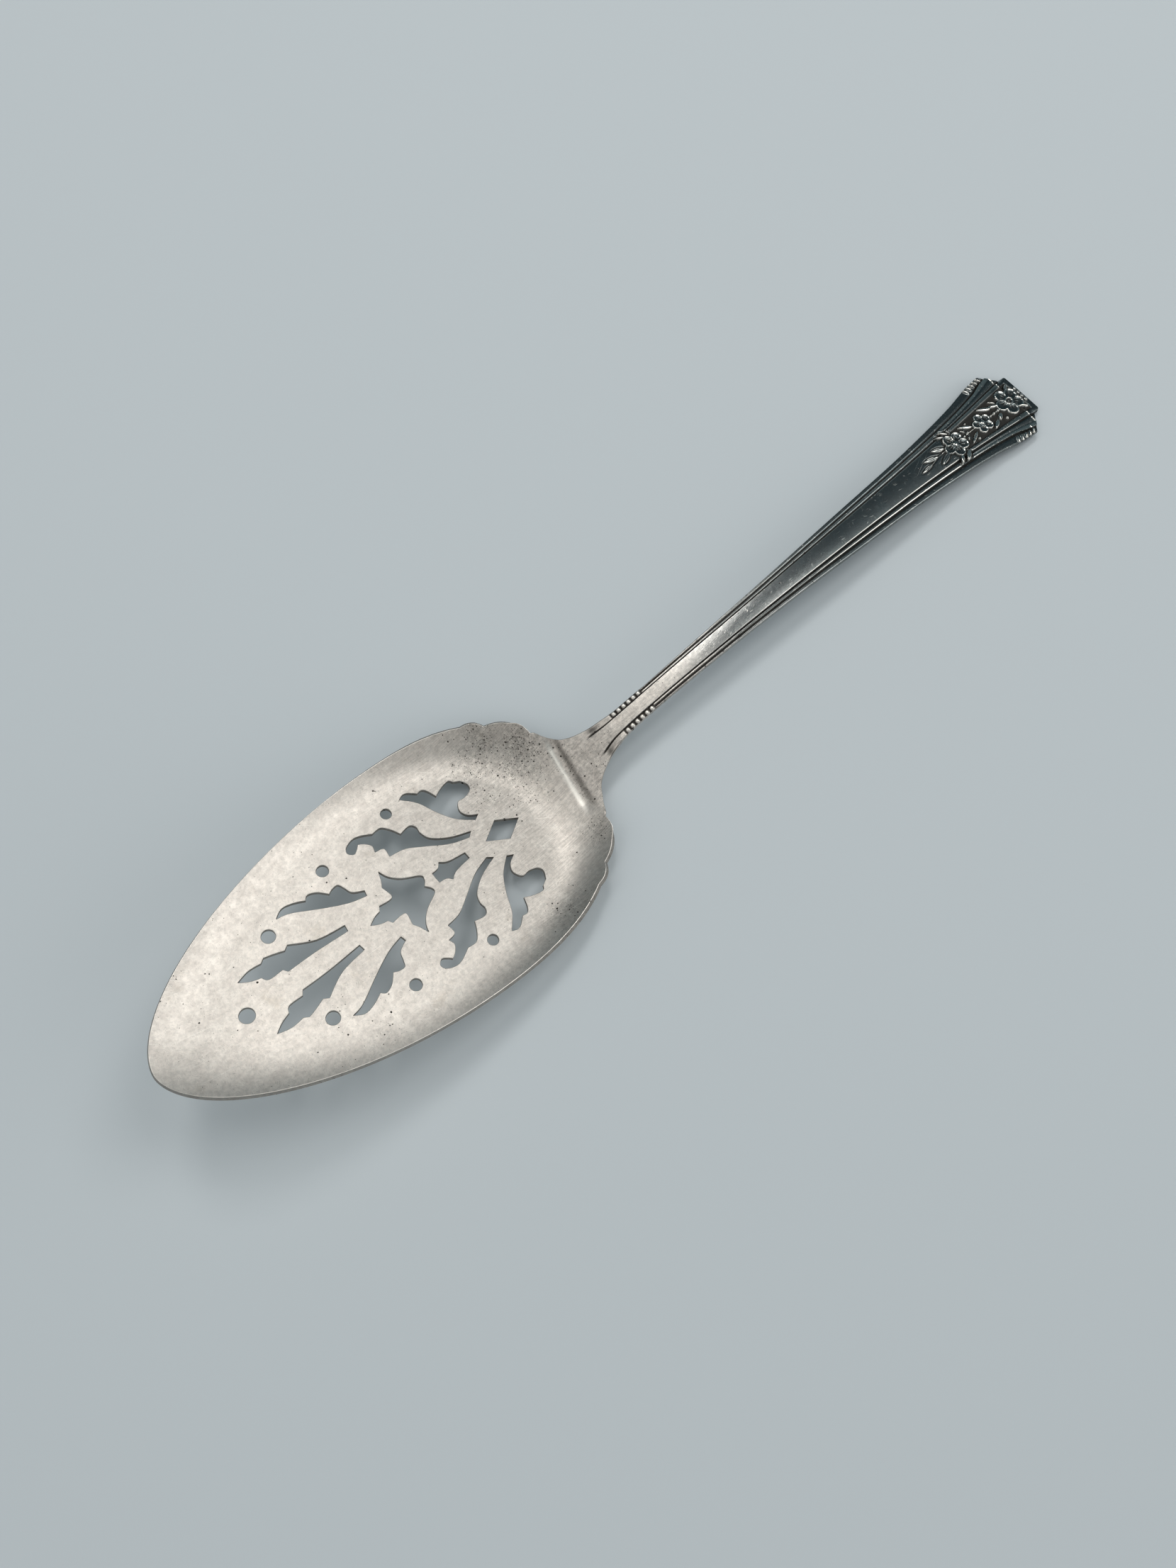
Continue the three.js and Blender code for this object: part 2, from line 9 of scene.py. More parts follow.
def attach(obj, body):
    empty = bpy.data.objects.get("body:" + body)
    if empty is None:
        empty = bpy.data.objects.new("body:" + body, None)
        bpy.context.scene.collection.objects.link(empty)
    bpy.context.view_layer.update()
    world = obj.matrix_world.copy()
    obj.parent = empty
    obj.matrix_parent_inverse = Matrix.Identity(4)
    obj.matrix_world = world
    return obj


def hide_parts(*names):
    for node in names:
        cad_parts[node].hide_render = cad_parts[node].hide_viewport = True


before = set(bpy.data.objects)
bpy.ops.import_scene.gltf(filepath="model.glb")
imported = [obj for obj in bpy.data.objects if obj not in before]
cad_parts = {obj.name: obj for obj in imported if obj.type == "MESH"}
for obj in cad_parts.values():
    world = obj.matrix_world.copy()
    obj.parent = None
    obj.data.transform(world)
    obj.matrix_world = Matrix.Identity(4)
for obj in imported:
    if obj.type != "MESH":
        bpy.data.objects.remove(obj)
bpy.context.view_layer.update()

MM = 0.001

# Photograph's camera
IMAGE_HEIGHT = 2212
FOCAL_PIXELS = 1660
SENSOR = 36
CAMERA_PLACE = (-60.839, -63.912, 259.075)
CAMERA_TURN = (15.4995, 1.9586, -41.1432)
NEAREST_SEEN = 0.01

# Blade outline, dish and place on the table, as in the solids
BLADE_ORIGIN = (-106.3104, 0, 22.4328)
BLADE_PITCH = math.radians(16.1)
WIDEST_AT = 50
TIP_REACH = 70.6
HEEL_REACH = 37.7
BLADE_HALF_WIDTH = 29.1
TIP_FULLNESS = 1.8
HEEL_FULLNESS = 2.45
SHOULDER_NOTCHES = (74.2, 78.8, 85.4)
SCALLOP_BULGES = (0.75, 1.8)
NOTCH_NICK = 0.15
JOINT_AT = SHOULDER_NOTCHES[-1]
JOINT_MIDDLE = (np.array(JOINT_AT), np.array(0.0))
SHEET = 1.2
RIM_WIDTH = 10.5
RIM_RISE = [(-20.6, 3.5), (22, 1.9), (50, 2.7), (72, 4.8), (86, 5.6)]
UPRIGHT_NEAR_JOINT = 3
SLOPE_STEP = 0.05

# Struck crease across the heel, by distance behind the joint
CREASE_AT = 1.1
CREASE_SKEW = 0.18
CREASE_REACH = 2.1
CREASE_DEPTH = 0.5
CREASE_ENDS = (6.5, 11)
# Painted highlight on the blade side of the crease and painted shade on its handle side, put into the
# colour through the vertex values that the materials read; the highlight side is also smoother, the shaded
# side rougher
CREASE_PAINTED_HIGHLIGHT = 1
CREASE_PAINTED_SHADE = 0.5

# Piercings: circles as along, across, radius; leaves as runs of smooth stretches that meet in corners
HOLE_CIRCLES = [(0, 0, 1.65), (12.8, 11, 1.5), (30, 16, 1.35), (48.8, 18.5, 1.25)]
DIAMOND = [[(62.1, 0), (66.9, 2.8)], [(66.9, 2.8), (71.7, 0)]]
LEAF_NEAR_TIP = [
    [(26.4, 3.4), (20, 4.4), (14.7, 7.2)],
    [(14.7, 7.2), (13.6, 6.5)],
    [(13.6, 6.5), (11, 7.4), (9.3, 7.85)],
    [(9.3, 7.85), (8.3, 7.2)],
    [(8.3, 7.2), (5.4, 7.45), (2.4, 6.7)],
    [(2.4, 6.7), (4.4, 5.45), (6.7, 4.65)],
    [(6.7, 4.65), (7.6, 3.45), (10.9, 3.45)],
    [(10.9, 3.45), (11.6, 2.45)],
    [(11.6, 2.45), (18, 2.45), (26.2, 1.95)],
]
LEAF_MIDDLE = [
    [(34.3, 7.05), (32, 8.3), (31.25, 10.2), (30.6, 11.5), (29.2, 11.5), (28, 10.95)],
    [(28, 10.95), (26.2, 12.8), (24.3, 13.55), (23.3, 12.75)],
    [(23.3, 12.75), (20.8, 13.9), (18.3, 14.3), (16.15, 13.1)],
    [(16.15, 13.1), (19.2, 12.4), (25, 9.25), (30, 6.85), (34, 5.8)],
]
LEAF_SCROLL = [
    [(61.1, 3.95), (56.5, 5.6), (53, 8), (52, 10.3), (52.1, 12), (51, 13.2), (48.4, 12.8)],
    [(48.4, 12.8), (47.3, 14.9), (45.7, 16.6), (43.5, 16.5)],
    [(43.5, 16.5), (41, 17.75), (39.2, 18.05), (37.2, 17.3), (36.55, 16), (37.6, 15), (38.8, 15.7),
     (39.5, 16.4)],
    [(39.5, 16.4), (40.8, 15.6), (41.8, 14.2), (41.4, 12.7)],
    [(41.4, 12.7), (43.4, 12.2), (43.3, 10)],
    [(43.3, 10), (47, 9.4), (51, 7.1), (55.5, 4.4), (59.8, 3)],
]
LEAF_HEEL = [
    [(65, 6.15), (63, 7.4), (62.25, 9.3), (63.3, 11.25), (65.2, 11.2), (67.2, 11.9), (67.8, 13.3),
     (66.9, 15)],
    [(66.9, 15), (65.5, 15.7)],
    [(65.5, 15.7), (64.7, 16.6), (62.4, 16.2), (60.3, 15.25)],
    [(60.3, 15.25), (59.5, 17.4), (58.6, 18.4), (57.3, 18.3)],
    [(57.3, 18.3), (55.6, 19.65), (54.4, 19.95), (53.2, 19.5)],
    [(53.2, 19.5), (56, 16.4), (57.9, 12.2), (60.3, 8.3), (63.6, 5.45)],
]
FLOWER_HALF = [
    [(30.5, 0), (32.4, 1), (34, 1.35)],
    [(34, 1.35), (34.6, 2.35)],
    [(34.6, 2.35), (37, 2.1), (38.1, 2.6), (37.6, 5.3)],
    [(37.6, 5.3), (38.4, 6.6), (39.2, 8.7)],
    [(39.2, 8.7), (40.1, 6.5), (42.2, 4.4), (45.7, 2.5), (45.9, 1.3), (44.9, 0)],
]
BUD_HALF = [
    [(48, 0), (48, 1.3)],
    [(48, 1.3), (49.8, 1.5), (50.8, 2.5)],
    [(50.8, 2.5), (52.6, 1.4), (56.8, 0.8)],
    [(56.8, 0.8), (56.8, 0)],
]

# Softened cut edges, as depth below the face and how far the cut opens there
EDGE_SOFTENING = [(0, 0.1), (0.04, 0.03), (0.11, 0)]
# Cut walls darkened as painted shade, standing in for the dark reflection of the surroundings that they
# show
WALL_PAINTED_SHADE = 0.5
CUTTER_OVERSHOOT = 2
SHARPEST_CORNER = 0.7

# Handle centre line, as in the solids
HEEL_BEND = 1.7
RAMP_LENGTH = 8.4
RAMP_ANGLE = math.radians(27.5)
NECK_BEND = 1.8
NECK_ANGLE = math.radians(10.5)
NECK_REACH = 16
ARCH_LENGTH = 134.7
END_ANGLE = math.radians(8.5)
END_REACH = 55
END_THICKNESS = 2
LEAN_FADE = 12
DISH_FADE = 5

# Handle section as half widths and thicknesses: distances behind the joint, then distances before the end
EDGE_NECK = [(0.5, 12.75), (1.1, 12), (2, 10.5), (3.2, 8.85), (4.6, 7), (8.1, 4.9), (12, 3.7),
             (18, 2.95), (25, 2.9), (44, 3.3), (65, 4)]
EDGE_FLARE = [(62.6, 5), (40.6, 6.1), (25.6, 7.4), (17.6, 8.4), (9, 9.9), (0, 10.5)]
STEP_NECK = [(0, 9), (5, 5.2), (9, 3.6), (14, 2.55), (20, 2.3), (46, 2.55)]
STEP_FLARE = [(42.6, 4.45), (22.6, 5.75), (10.6, 7.3), (5.6, 8.7), (0, 9.3)]
PANEL_NECK = [(0, 6), (5, 3.7), (9, 2.5), (14, 1.75), (20, 1.62), (46, 1.75)]
PANEL_FLARE = [(72.6, 2.25), (42.6, 3.05), (22.6, 4.1), (0, 6.1)]
THICKNESS_NECK = [(6, 1.9), (14, 2.6), (40, 2.5)]
THICKNESS_FLARE = [(58.6, 2.3), (0, END_THICKNESS)]
LINE_FLARE = [(24, 4.75), (12, 6.1), (3, 7.9), (0, 8.6)]
END_PLAN = [(5.4, 10.2), (2, 6.3), (1.98, 6.1), (0.7, 6.1), (0.35, 5.95), (0.1, 5.65), (0, 5.4)]

# Reeding
PANEL_LINE_FADE = (8, 11)
STEP_LINE_FADE = (23.8, 25.2)
STEP_DROP = 0.3
GROOVE_DEPTH = 0.24
GROOVE_SHARE = 0.34
GROOVE_MOST = 0.38
BEVEL_SHARE = 0.13
BEVEL_MOST = 0.2
LINE_DEPTH = 0.14
LINE_WIDTH = 0.2
LINE_EASE = 3
LINE_START = 1.5
LINE_SHARE = 0.6
LINE_ROOM = 0.125
STEP_WALL = 0.03
BEYOND_EDGE = 1
EDGE_ROUND = 0.16
BACK_ROUND = 0.5
PANEL_CROWN = 0.05

# Bead rows beside the neck and fluted corners, with the bed that they stand on, and the beaded end
ORNAMENT_BED = -2 * STEP_DROP - GROOVE_DEPTH / 2
BED_SLOPE = (0.2, 0.1)
BEAD_SQUARENESS = 3
BEAD_FULLNESS = 0.35
NECK_BEADS = 6
NECK_BEAD_START = 16.6
NECK_BEAD_PITCH = 1.45
NECK_BEAD_LENGTH = 1.12
NECK_BEAD_HEIGHT = 0.5
NECK_BEAD_OVERLAP = 0.1
FLUTES = 5
FLUTE_START = 10.9
FLUTE_PITCH = 1.22
FLUTE_LENGTH = 1.7
FLUTE_WIDTH = 0.64
FLUTE_HEIGHT = 0.46
FLUTE_LEAN = math.radians(35)
FLUTE_INSET = 0.42
END_BEADS = 4
END_BEAD_PITCH = 1.25
END_BEAD_INSET = 0.85
END_BEAD_RADIUS = 0.5
END_BEAD_HEIGHT = 0.3

# Sunk frame with blossoms, leaves and buds, at distances before the end
FRAME_START = 23
FRAME_END = 1.5
FRAME_WIDTHS = (3.2, 4.7)
FRAME_DEPTH = 0.26
FRAME_SLOPE = 0.22
BLOSSOMS = [(24.5, -0.1, 3.3, 185, False), (14.8, -0.1, 2.7, 90, False), (4.8, 0.2, 3.75, 177, True)]
PETALS = 5
PETAL_REACH = 0.63
PETAL_LENGTH = 0.4
PETAL_WIDTH = 0.42
PETAL_HEIGHT = 0.5
PETAL_CUP = (0.42, 0.58)
PETAL_EDGE = (0.93, 1.08)
STROKES = 17
STROKE_DEPTH = 0.16
STROKE_START = (0.32, 0.38)
STROKE_END = (0.52, 0.68)
HEART_REACH = 0.66
HEART_HEIGHT = -0.05
BOSS_SHARE = 0.29
BOSS_HEIGHT = 0.46
BOSS_EDGE = 1.1
RING_AT = 0.8
RING_WIDTH = 0.22
PISTIL_SHARE = 0.35
PISTIL_HEIGHT = 0.3
NO_RELIEF = -1.0
RELIEF_SINK = 0.16
RAISED_LEAST = 0.01
MOAT_DEPTH = 0.2
MOAT_REACH = 2
MOAT_BLURS = 2
MOAT_EDGE = (0.02, 0.45)
LEAF_HEIGHT = 0.48
LEAF_ENDS = (0.001, 0.999)
LEAF_ROUNDNESS = 0.6
LEAF_FULLNESS = (0.8, 0.35)
LEAF_CUP = (0.62, 0.38)
LEAF_EDGE = (0.75, 1.15)
RIB_HEIGHT = 0.3
RIB_EDGE = (0.05, 0.3)
# Leaves as tip before the end, tip across, base before the end, base across, width
LEAVES = [
    (36.8, -0.75, 33, -0.45, 0.95), (34.5, 1.2, 30.4, 0.1, 1.25), (30.9, 2.2, 27.6, 0.8, 1.35),
    (31.1, -2.15, 27.5, -0.8, 1.45), (27.4, 4.15, 25.4, 3.2, 0.7), (25.7, 4.9, 24, 3.1, 0.8),
    (23.7, 4.6, 23.3, 3, 0.55), (27.1, -5.15, 25.2, -3.1, 1), (25.4, -5.35, 23, -3.3, 1.2),
    (21, 2.75, 17.6, 0.75, 0.95), (21, 1.95, 20.3, 0.7, 0.5), (20.9, -2.75, 17.6, -1, 0.85),
    (13.5, 3.35, 10.1, 1.5, 1.05), (10.7, 2.25, 7.9, 1, 0.85), (9.4, 3.35, 8.1, 1.8, 0.55),
    (13.4, -3.35, 10.9, -1.9, 1.05), (10.6, -2.35, 9, -0.9, 1.05), (1.7, 4.2, 3.2, 2.8, 0.8),
    (1.7, -3.9, 3.3, -2.5, 0.8), (21, -1.5, 20.2, -0.6, 0.5),
]
# Buds as before the end, across, radius
BUDS = [
    (21.2, 0, 0.36), (19.8, 0.25, 0.44), (18.6, -2.7, 0.42), (11.7, 0, 0.34), (10.5, 0.05, 0.42),
    (9.1, 0, 0.46), (8.7, -2.9, 0.4), (18.5, 2.4, 0.3),
]
# Stems as runs of points before the end and across
STEMS = [[(33, -0.45), (30.4, 0.1), (27.8, 0.15)], [(23.2, 0), (17.5, 0.1)], [(12.6, 0), (8, 0.05)]]
STEM_WIDTH = 0.34
STEM_HEIGHT = 0.3

# Fineness of the meshes, and how much relief counts as dirty or worn
SHEET_CELL = 0.8
JOINT_CELLS = 14
OUTLINE_STEPS = 110
HEEL_STEPS = 50
SCALLOP_STEPS = 14
CURVE_STEPS = 6
CIRCLE_STEPS = 40
SPINE_STEPS = 160
HANDLE_ROWS = [(0, 6, 24), (6, 15.6, 26), (15.6, 25.6, 70), (25.6, 109, 110)]
END_ROW = 0.135
SIDE_COLUMNS = (44, 3, 2, 2, 2, 1, 2, 2, 3, 2, 2, 6, 3)
WALL_COLUMNS = 3
BACK_COLUMNS = 12
ROUND_COLUMNS = 4
COLUMN_GAP = 0.012
INSET_ROUNDS = 3
BLUR_REACH = 4
BLUR_TIMES = 3
RELIEF_SPAN = 0.1
WEAR_START = 0.05
SHARP_ANGLE = math.radians(17)
HANDLE_SHARP_ANGLE = math.radians(42)
MERGE = 1e-5
REPEAT = 1e-3
PLACE_DIGITS = 3

# Finish: colours, how strongly each mark shows, roughness, and stretches along the server
BLADE_BRIGHT = (0.87, 0.81, 0.745, 1)
BLADE_DULL = (0.75, 0.69, 0.635, 1)
BLADE_DARK = (0.42, 0.4, 0.37, 1)
# Handle tones darkened and tinted blue-grey, darkest over the stretch towards the end: painted dark
# reflection of the surroundings on the polished handle, partly tarnish
HANDLE_BRIGHT = (0.5, 0.505, 0.495, 1)
HANDLE_DULL = (0.36, 0.37, 0.365, 1)
HANDLE_DARK = (0.14, 0.145, 0.145, 1)
END_BRIGHT = (0.17, 0.2, 0.205, 1)
END_DULL = (0.11, 0.13, 0.135, 1)
# The worn tint also paints the highlight along the crease, and the tarnish tint also paints the shade on
# the cut walls and beside the crease
WORN_AND_PAINTED_HIGHLIGHT = (0.92, 0.89, 0.83, 1)
TARNISH_AND_PAINTED_SHADE = (0.04, 0.036, 0.032, 1)
STAIN = (0.4, 0.31, 0.2, 1)
STAIN_SHARE = 0.25
BRUSHING_SHADE = 0.3
SCRATCH_SHINE = 0.6
PIT_SHADE = 0.9
HOLLOW_SHADE = 0.9
WEAR_AND_PAINTED_HIGHLIGHT_SHINE = 0.75
FLOOR_ROUGHNESS = 0.45
RIM_ROUGHNESS = 0.41
HANDLE_ROUGHNESS = 0.17
PATCH_ROUGHNESS = 0.03
BRUSHING_ROUGHNESS = 0.06
TARNISH_ROUGHNESS = 0.3
WEAR_ROUGHNESS = -0.1
TIP_BRUSHING = 0.12
HEEL_BRUSHING = 0.9
HANDLE_BRUSHING = 0.2
LINE_RELIEF = 0.006
GRAIN_RELIEF = 0.5
SCRATCH_RELIEF = -0.5
PIT_RELIEF = -1.5
SCRATCH_AMOUNT = 0.5
HANDLE_SCRATCHES = 0.12
DARK_SCRATCH_SHADE = 0.3
MOTTLE_SHADE = 0.38
SOOT_SHADE = 0.6
RUBBED_FLOOR = (0.4, 0.8)
# Where pits gather on the blade: the place and how far they spread, then how thickly they lie
PITTED_PLACES = [
    ((-31, 13, 2), 17, 0.85),
    ((-25, -15, 4), 7, 0.4),
    ((-42, -25, 7), 9, 0.3),
    ((-88, -20, 16), 7, 0.12),
]
FEW_PITS = 0.012
HANDLE_PITS = (0.09, 0.03)
PITTED_STRETCH = (-22, -8)
BRUSHED_STRETCH = (-80, -35)
POLISH_STRETCH = (-5, 32)
DARK_STRETCH = (28, 64)
# Scratches as direction in degrees, then cells to a metre along and across; long ones are fewer
PALE_SCRATCHES = [(8, 230, 3400), (-35, 300, 3800), (62, 340, 3600), (-71, 280, 3900)]
DARK_SCRATCHES = [(28, 300, 4200), (-55, 340, 4400), (88, 360, 4000)]
LONG_SCRATCHES = [(4, 26, 2600), (-22, 34, 3000), (38, 40, 2800)]
LONG_SHARE = 0.2
SCRATCH_EDGE = (0.06, 0.16)
BRUSHING_CELLS = (260, 5600)
BRUSHING_NOISE = (1.0, 3.0, 0.6)
BRUSHING_RANGE = (0.25, 0.75)
# Pits as cells to a metre and how much the size varies, from the least size up; they gather in clouds
PIT_SIZES = [(1100, 0.2), (1900, 0.22), (4000, 0.28)]
PIT_LEAST = 0.085
PIT_EDGE = 0.06
PIT_CLOUDS = (160.0, 3.0, 0.55)
PIT_CLOUD_RANGE = (0.35, 0.6, 0.2, 1.0)
# What bends the scratches and makes the pits ragged: cells to a metre, detail, push in metres
SCRATCH_BEND = (28.0, 0.0, 0.006)
PIT_RAGGED = (7000.0, 2.0, 0.00024)
# Clouding as cells to a metre, detail and roughness, then the range of it that shows
CLOUDS = {
    "Patches": ((420.0, 6.0, 0.62), (0.3, 0.72)),
    "Stains": ((85.0, 5.0, 0.6), (0.6, 0.75)),
    "Mottle": ((1100.0, 4.0, 0.7), (0.32, 0.68)),
}
GRAIN = (3200.0, 3.0, 0.6)

# Pale table: half its width in metres, colour and finish
TABLE_REACH = 6
TABLE_COLOUR = (0.74, 0.8, 0.84, 1)
TABLE_ROUGHNESS = 0.9
TABLE_SHINE = 0.2

# Lamps as name, direction, distance in metres, size in metres, turn in degrees, power in watts, tint
LAMPS = [
    ("overhead", (-0.1, 0.4, 0.91), 1.4, (1.26, 0.34), -14, 2.5, (1, 0.97, 0.93)),
    ("front", (0.3, 0.44, 0.84), 1.4, (0.32, 0.32), 0, 2.0, (1, 0.98, 0.95)),
    ("side", (0.545, -0.08, 0.82), 1.4, (0.58, 0.56), -4, 3.35, (1, 0.98, 0.95)),
    ("crease", (0.1, 0.08, 0.99), 1.4, (0.32, 0.1), -38, 0.42, (1, 0.97, 0.9)),
]
# Plain light all round, then brighter surroundings as direction, cosines where they begin and end, light
ALL_ROUND = (0.075, 0.11, 0.125, 1)
SURROUNDINGS = [
    ((-0.75, 0.25, 0.6), 0.84, 0.985, (0.85, 0.85, 0.83, 1)),
    ((-0.5, -0.5, 0.7), 0.75, 1, (0.45, 0.45, 0.44, 1)),
    ((0.5, -0.8, 0.1), 0.6, 0.95, (1.0, 1.0, 0.98, 1)),
]


def smooth_value(stations, at):
    """Smooth value between listed stations, without overshoot."""
    xs, ys = np.array(stations, float).T
    chords = np.diff(ys) / np.diff(xs)
    before = chords[:-1]
    after = chords[1:]
    rising = before * after > 0
    total = np.where(rising, before + after, 1)
    inner = np.where(rising, 2 * before * after / total, 0)
    slopes = np.concatenate([chords[:1], inner, chords[-1:]])
    at = np.clip(at, xs[0], xs[-1])
    right = np.clip(np.searchsorted(xs, at), 1, len(xs) - 1)
    span = xs[right] - xs[right - 1]
    t = (at - xs[right - 1]) / span
    start = (2 * t**3 - 3 * t**2 + 1) * ys[right - 1] + (t**3 - 2 * t**2 + t) * span * slopes[right - 1]
    return start + (3 * t**2 - 2 * t**3) * ys[right] + (t**3 - t**2) * span * slopes[right]


def smoothstep(low, high, at):
    t = np.clip((at - low) / (high - low), 0, 1)
    return t * t * (3 - 2 * t)


def outwardness(along, across):
    """How far out a place on the blade lies: 0 in the middle, 1 on the plain outline."""
    offset = along - WIDEST_AT
    reach = np.where(offset < 0, TIP_REACH, HEEL_REACH)
    fullness = np.where(offset < 0, TIP_FULLNESS, HEEL_FULLNESS)
    total = (np.abs(offset) / reach) ** fullness + (np.abs(across) / BLADE_HALF_WIDTH) ** fullness
    return total ** (1 / fullness)


def dish_height(along, across):
    """Height of the blade's upper face: a flat floor with a rim that curves up."""
    floor_edge = 1 - RIM_WIDTH / BLADE_HALF_WIDTH
    climb = np.maximum(0, (outwardness(along, across) - floor_edge) / (1 - floor_edge))
    return smooth_value(RIM_RISE, along) * climb**2


def crease_distance(behind, across):
    """Distance behind the middle of the crease, as a share of its reach."""
    return (behind - CREASE_AT - CREASE_SKEW * across) / CREASE_REACH


def crease_profile(away, across):
    """Rounded swell across the heel, 1 in the middle, that fades out at both ends."""
    profile = np.cos(math.pi / 2 * np.clip(away, -1, 1))**2
    return profile * (1 - smoothstep(*CREASE_ENDS, np.abs(across)))


def crease_dip(behind, across):
    """Depth of the shallow crease where the heel turns up into the ramp."""
    return CREASE_DEPTH * crease_profile(crease_distance(behind, across), across)


def crease_band(behind, across, side):
    """1 along the slope on one side of the crease: -1 towards the blade, 1 towards the handle."""
    return crease_profile(2 * crease_distance(behind, across) - side, across)


def dish_normal(along, across):
    ahead = dish_height(along + SLOPE_STEP, across) - dish_height(along - SLOPE_STEP, across)
    aside = dish_height(along, across + SLOPE_STEP) - dish_height(along, across - SLOPE_STEP)
    normal = np.stack([-ahead, -aside, np.full_like(ahead, 2 * SLOPE_STEP)], -1)
    return normal / np.linalg.norm(normal, axis=-1, keepdims=True)


def sheet_direction(along, across):
    """Way through the sheet: square to it, but upright and of one depth at the joint."""
    joint_slope = dish_normal(*JOINT_MIDDLE)[2]
    share = smoothstep(JOINT_AT - UPRIGHT_NEAR_JOINT, JOINT_AT, along)[..., None]
    upright = np.array([0, 0, 1 / joint_slope])
    return dish_normal(along, across) * (1 - share) + upright * share


def on_table(points):
    """From the blade's floor to the frame, in millimetres."""
    turn = np.array([
        [math.cos(BLADE_PITCH), 0, math.sin(BLADE_PITCH)],
        [0, 1, 0],
        [-math.sin(BLADE_PITCH), 0, math.cos(BLADE_PITCH)],
    ])
    return points @ turn.T + np.array(BLADE_ORIGIN)


def heel_half_width(along):
    share = 1 - ((along - WIDEST_AT) / HEEL_REACH) ** HEEL_FULLNESS
    return BLADE_HALF_WIDTH * share ** (1 / HEEL_FULLNESS)


def quadratic(a, b, c, steps):
    t = np.linspace(0, 1, steps + 1)[:, None]
    return (1 - t) ** 2 * a + 2 * t * (1 - t) * b + t**2 * c


def half_outline():
    """Left half of the outline, from the tip round past the joint, with a scallop between two notches."""
    angle = np.linspace(0, math.pi / 2, OUTLINE_STEPS, endpoint=False)
    tip = np.stack([
        WIDEST_AT - TIP_REACH * np.cos(angle) ** (2 / TIP_FULLNESS),
        BLADE_HALF_WIDTH * np.sin(angle) ** (2 / TIP_FULLNESS),
    ], -1)
    along = np.linspace(WIDEST_AT, SHOULDER_NOTCHES[0], HEEL_STEPS, endpoint=False)
    parts = [tip, np.stack([along, heel_half_width(along)], -1)]
    notches = [np.array([at, heel_half_width(at)]) for at in SHOULDER_NOTCHES]
    notches[1][1] -= NOTCH_NICK
    notches[2][1] -= NOTCH_NICK
    for bulge, start, end in zip(SCALLOP_BULGES, notches, notches[1:]):
        outward = np.array([start[1] - end[1], end[0] - start[0]])
        control = (start + end) / 2 + 2 * bulge * outward / np.linalg.norm(outward)
        parts.append(quadratic(start, control, end, SCALLOP_STEPS)[:-1])
    parts.append(np.array([notches[-1], notches[-1] + [CUTTER_OVERSHOOT, 0]]))
    return np.concatenate(parts)


def flat_outline():
    """Whole outline on the unbent sheet, drawn in so that the bent lower edge keeps the plain outline."""
    half = half_outline()
    inset = half.copy()
    for _ in range(INSET_ROUNDS):
        through = sheet_direction(inset[:, 0], inset[:, 1])
        inset = half + SHEET * through[:, :2]
    inset[-2:] = half[-2:]
    return joined_halves(inset)


def mirrored(points):
    return points[::-1] * np.array([1, -1])


def without_repeats(points):
    step = np.linalg.norm(points - np.roll(points, -1, axis=0), axis=1)
    return points[step > REPEAT]


def joined_halves(half):
    return without_repeats(np.concatenate([half, mirrored(half)]))


def smooth_stretch(points):
    """Points along a smooth run through the listed ones."""
    points = np.array(points, float)
    if len(points) == 2:
        return points
    padded = np.concatenate([points[:1], points, points[-1:]])
    t = np.linspace(0, 1, CURVE_STEPS, endpoint=False)[:, None]
    runs = []
    for p0, p1, p2, p3 in zip(padded, padded[1:], padded[2:], padded[3:]):
        m1 = (p2 - p0) / 2
        m2 = (p3 - p1) / 2
        cubed = 2 * p1 - 2 * p2 + m1 + m2
        squared = 3 * p2 - 3 * p1 - 2 * m1 - m2
        runs.append(cubed * t**3 + squared * t**2 + m1 * t + p1)
    return np.concatenate([*runs, points[-1:]])


def stretch_points(stretches):
    return np.concatenate([smooth_stretch(stretch) for stretch in stretches])


def piercings():
    shapes = []
    turn = np.linspace(0, 2 * math.pi, CIRCLE_STEPS, endpoint=False)
    ring = np.stack([np.cos(turn), np.sin(turn)], -1)
    for along, across, radius in HOLE_CIRCLES:
        for side in ((1, -1) if across else (1,)):
            shapes.append(ring * radius + np.array([along, across * side]))
    for leaf in (LEAF_NEAR_TIP, LEAF_MIDDLE, LEAF_SCROLL, LEAF_HEEL):
        points = without_repeats(stretch_points(leaf))
        shapes.extend([points, mirrored(points)])
    for half in (FLOWER_HALF, BUD_HALF, DIAMOND):
        shapes.append(joined_halves(stretch_points(half)))
    return shapes


def widened(points, amount):
    """The closed outline moved outwards by an amount, corners kept."""
    ahead = np.roll(points, -1, axis=0) - points
    ahead /= np.linalg.norm(ahead, axis=1, keepdims=True)
    behind = np.roll(ahead, 1, axis=0)
    area = np.sum(points[:, 0] * np.roll(points[:, 1], -1) - np.roll(points[:, 0], -1) * points[:, 1])
    bisector = np.stack([ahead[:, 1] + behind[:, 1], -ahead[:, 0] - behind[:, 0]], -1)
    bisector /= np.maximum(np.linalg.norm(bisector, axis=1, keepdims=True), SHARPEST_CORNER)
    return points + np.sign(area) * amount * bisector


